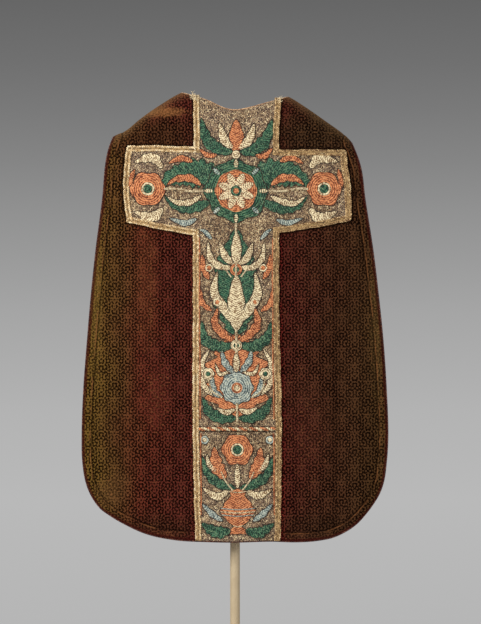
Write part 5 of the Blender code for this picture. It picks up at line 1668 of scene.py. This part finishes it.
# What each piece stands for
sheets = [
    (backPanel, ("back_left", "back_right"), "velvet", (0.80, 1.17), 0.76),
    (frontPanel, ("front",), "velvet", (0.64, 1.17), 0.56),
    (orphreyPieces["orphreyColumn"], ("orphrey_column",), "orphrey", (0.22, 0.83), 0.17),
    (orphreyPieces["orphreyLower"], ("orphrey_lower",), "orphrey", (0.22, 0.29), 0.06),
    (orphreyPieces["orphreyArmLeft"], ("orphrey_arm_left",), "orphrey", (0.18, 0.21), 0.034),
    (orphreyPieces["orphreyArmRight"], ("orphrey_arm_right",), "orphrey", (0.19, 0.21), 0.034),
]
for piece, nodes, slotName, flat, area in sheets:
    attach(piece, "root")
    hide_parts(*nodes)
for name, piece in embroidery.items():
    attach(piece, "root")
for piece, node, slotName in (
    (galloonPieces["galloonLeft"], "galloon_left", "galloon"), (galloonPieces["galloonRight"], "galloon_right", "galloon"),
    (bandCord, "band_cord", "galloon"), (edgePiping, "edge_piping", "piping"), (neckBinding, "neck_binding", "piping"),
    (shoulderForm, "shoulder_form", "form_cover"),
):
    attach(piece, "root")
    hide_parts(node)
for piece in (*plaits.values(), frayedThreads):
    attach(piece, "root")
for piece in giltLoops.values():
    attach(piece, "root")
for piece in bpy.context.scene.objects:
    if piece.type == "MESH" and piece.name not in frame["nodes"]:
        print(piece.name, sum(len(face.vertices) - 2 for face in piece.data.polygons), "triangles")


# Floor, background, light and camera
studio = {
    "floorReach": 1.2, "floor": (200, 200, 198),
    "backdrop": [
        (0.0, 182), (0.2, 185), (0.34, 179), (0.5, 165), (0.58, 155), (0.66, 145), (0.74, 133), (0.82, 122), (0.90, 112),
        (1.0, 102),
    ],
    "keyPower": 170.0, "fillPower": 42.0, "topPower": 40.0, "ambient": 0.30,
}
camera = {"pixel": 0.00246, "x": 0.0135, "height": 0.998, "distance": 12.0, "plane": -0.03, "sensor": 36.0}

floorMesh = bmesh.new()
bmesh.ops.create_circle(floorMesh, cap_ends=True, segments=96, radius=studio["floorReach"])
floorData = bpy.data.meshes.new("floor")
floorMesh.to_mesh(floorData)
floorMesh.free()
floor = bpy.data.objects.new("floor", floorData)
floor.location.z = -0.0005
bpy.context.scene.collection.objects.link(floor)
floorMaterial, floorTree, floorShader = newMaterial("paleFloor", 0.8)
shade = rangeOf(floorTree, noiseOf(floorTree, objectSpace(floorTree), 3, 3), 0.3, 0.7, (0.0, 0.25))
floorTree.links.new(
    blendColour(floorTree, shade, srgb(*studio["floor"]), srgb(190, 190, 188)), floorShader.inputs["Base Color"]
)
floor.data.materials.append(floorMaterial)

world = bpy.context.scene.world or bpy.data.worlds.new("studio")
bpy.context.scene.world = world
world.use_nodes = True
worldTree = world.node_tree
sky = addNode(worldTree, "ShaderNodeTexCoord").outputs["Generated"]
level = splitVector(worldTree, sky)[2]
halfView = 312 * camera["pixel"] / camera["distance"]
tone = rampOf(
    worldTree, calc(worldTree, "MULTIPLY_ADD", level, 0.5 / halfView, 0.5),
    [(share, srgb(grey, grey, grey)) for share, grey in studio["backdrop"]],
)
background = worldTree.nodes["Background"]
worldTree.links.new(tone, background.inputs["Color"])
ambient = addNode(worldTree, "ShaderNodeBackground", {"Color": (1, 1, 1, 1), "Strength": studio["ambient"]})
seen = addNode(worldTree, "ShaderNodeLightPath").outputs["Is Camera Ray"]
both = addNode(worldTree, "ShaderNodeMixShader", {0: seen, 1: ambient.outputs[0], 2: background.outputs[0]})
worldTree.links.new(both.outputs[0], worldTree.nodes["World Output"].inputs["Surface"])


def addSoftbox(name, spot, target, size, power, colour=(1, 1, 1)):
    data = bpy.data.lights.new(name, "AREA")
    data.shape = "RECTANGLE"
    data.size, data.size_y = size
    data.energy = power
    data.color = colour
    light = bpy.data.objects.new(name, data)
    light.location = spot
    light.rotation_euler = (Vector(target) - Vector(spot)).to_track_quat("-Z", "Y").to_euler()
    bpy.context.scene.collection.objects.link(light)


addSoftbox("keyBox", (-2.6, -3.0, 2.6), (0, 0, 1.0), (1.8, 2.2), studio["keyPower"])
addSoftbox("fillBox", (2.8, -3.2, 1.6), (0, 0, 1.0), (2.0, 2.2), studio["fillPower"])
addSoftbox("topBox", (0.0, 1.2, 3.4), (0, 0, 1.2), (2.0, 1.2), studio["topPower"])

cameraData = bpy.data.cameras.new("camera")
cameraData.sensor_fit = "AUTO"
cameraData.sensor_width = camera["sensor"]
cameraData.lens = camera["sensor"] * camera["distance"] / (624 * camera["pixel"])
cameraData.clip_end = 60
cameraObject = bpy.data.objects.new("camera", cameraData)
cameraObject.location = (camera["x"], camera["plane"] - camera["distance"], camera["height"])
cameraObject.rotation_euler = (math.pi / 2, 0, 0)
bpy.context.scene.collection.objects.link(cameraObject)
bpy.context.scene.camera = cameraObject
bpy.context.scene.view_settings.view_transform = "Standard"
print("studio made")
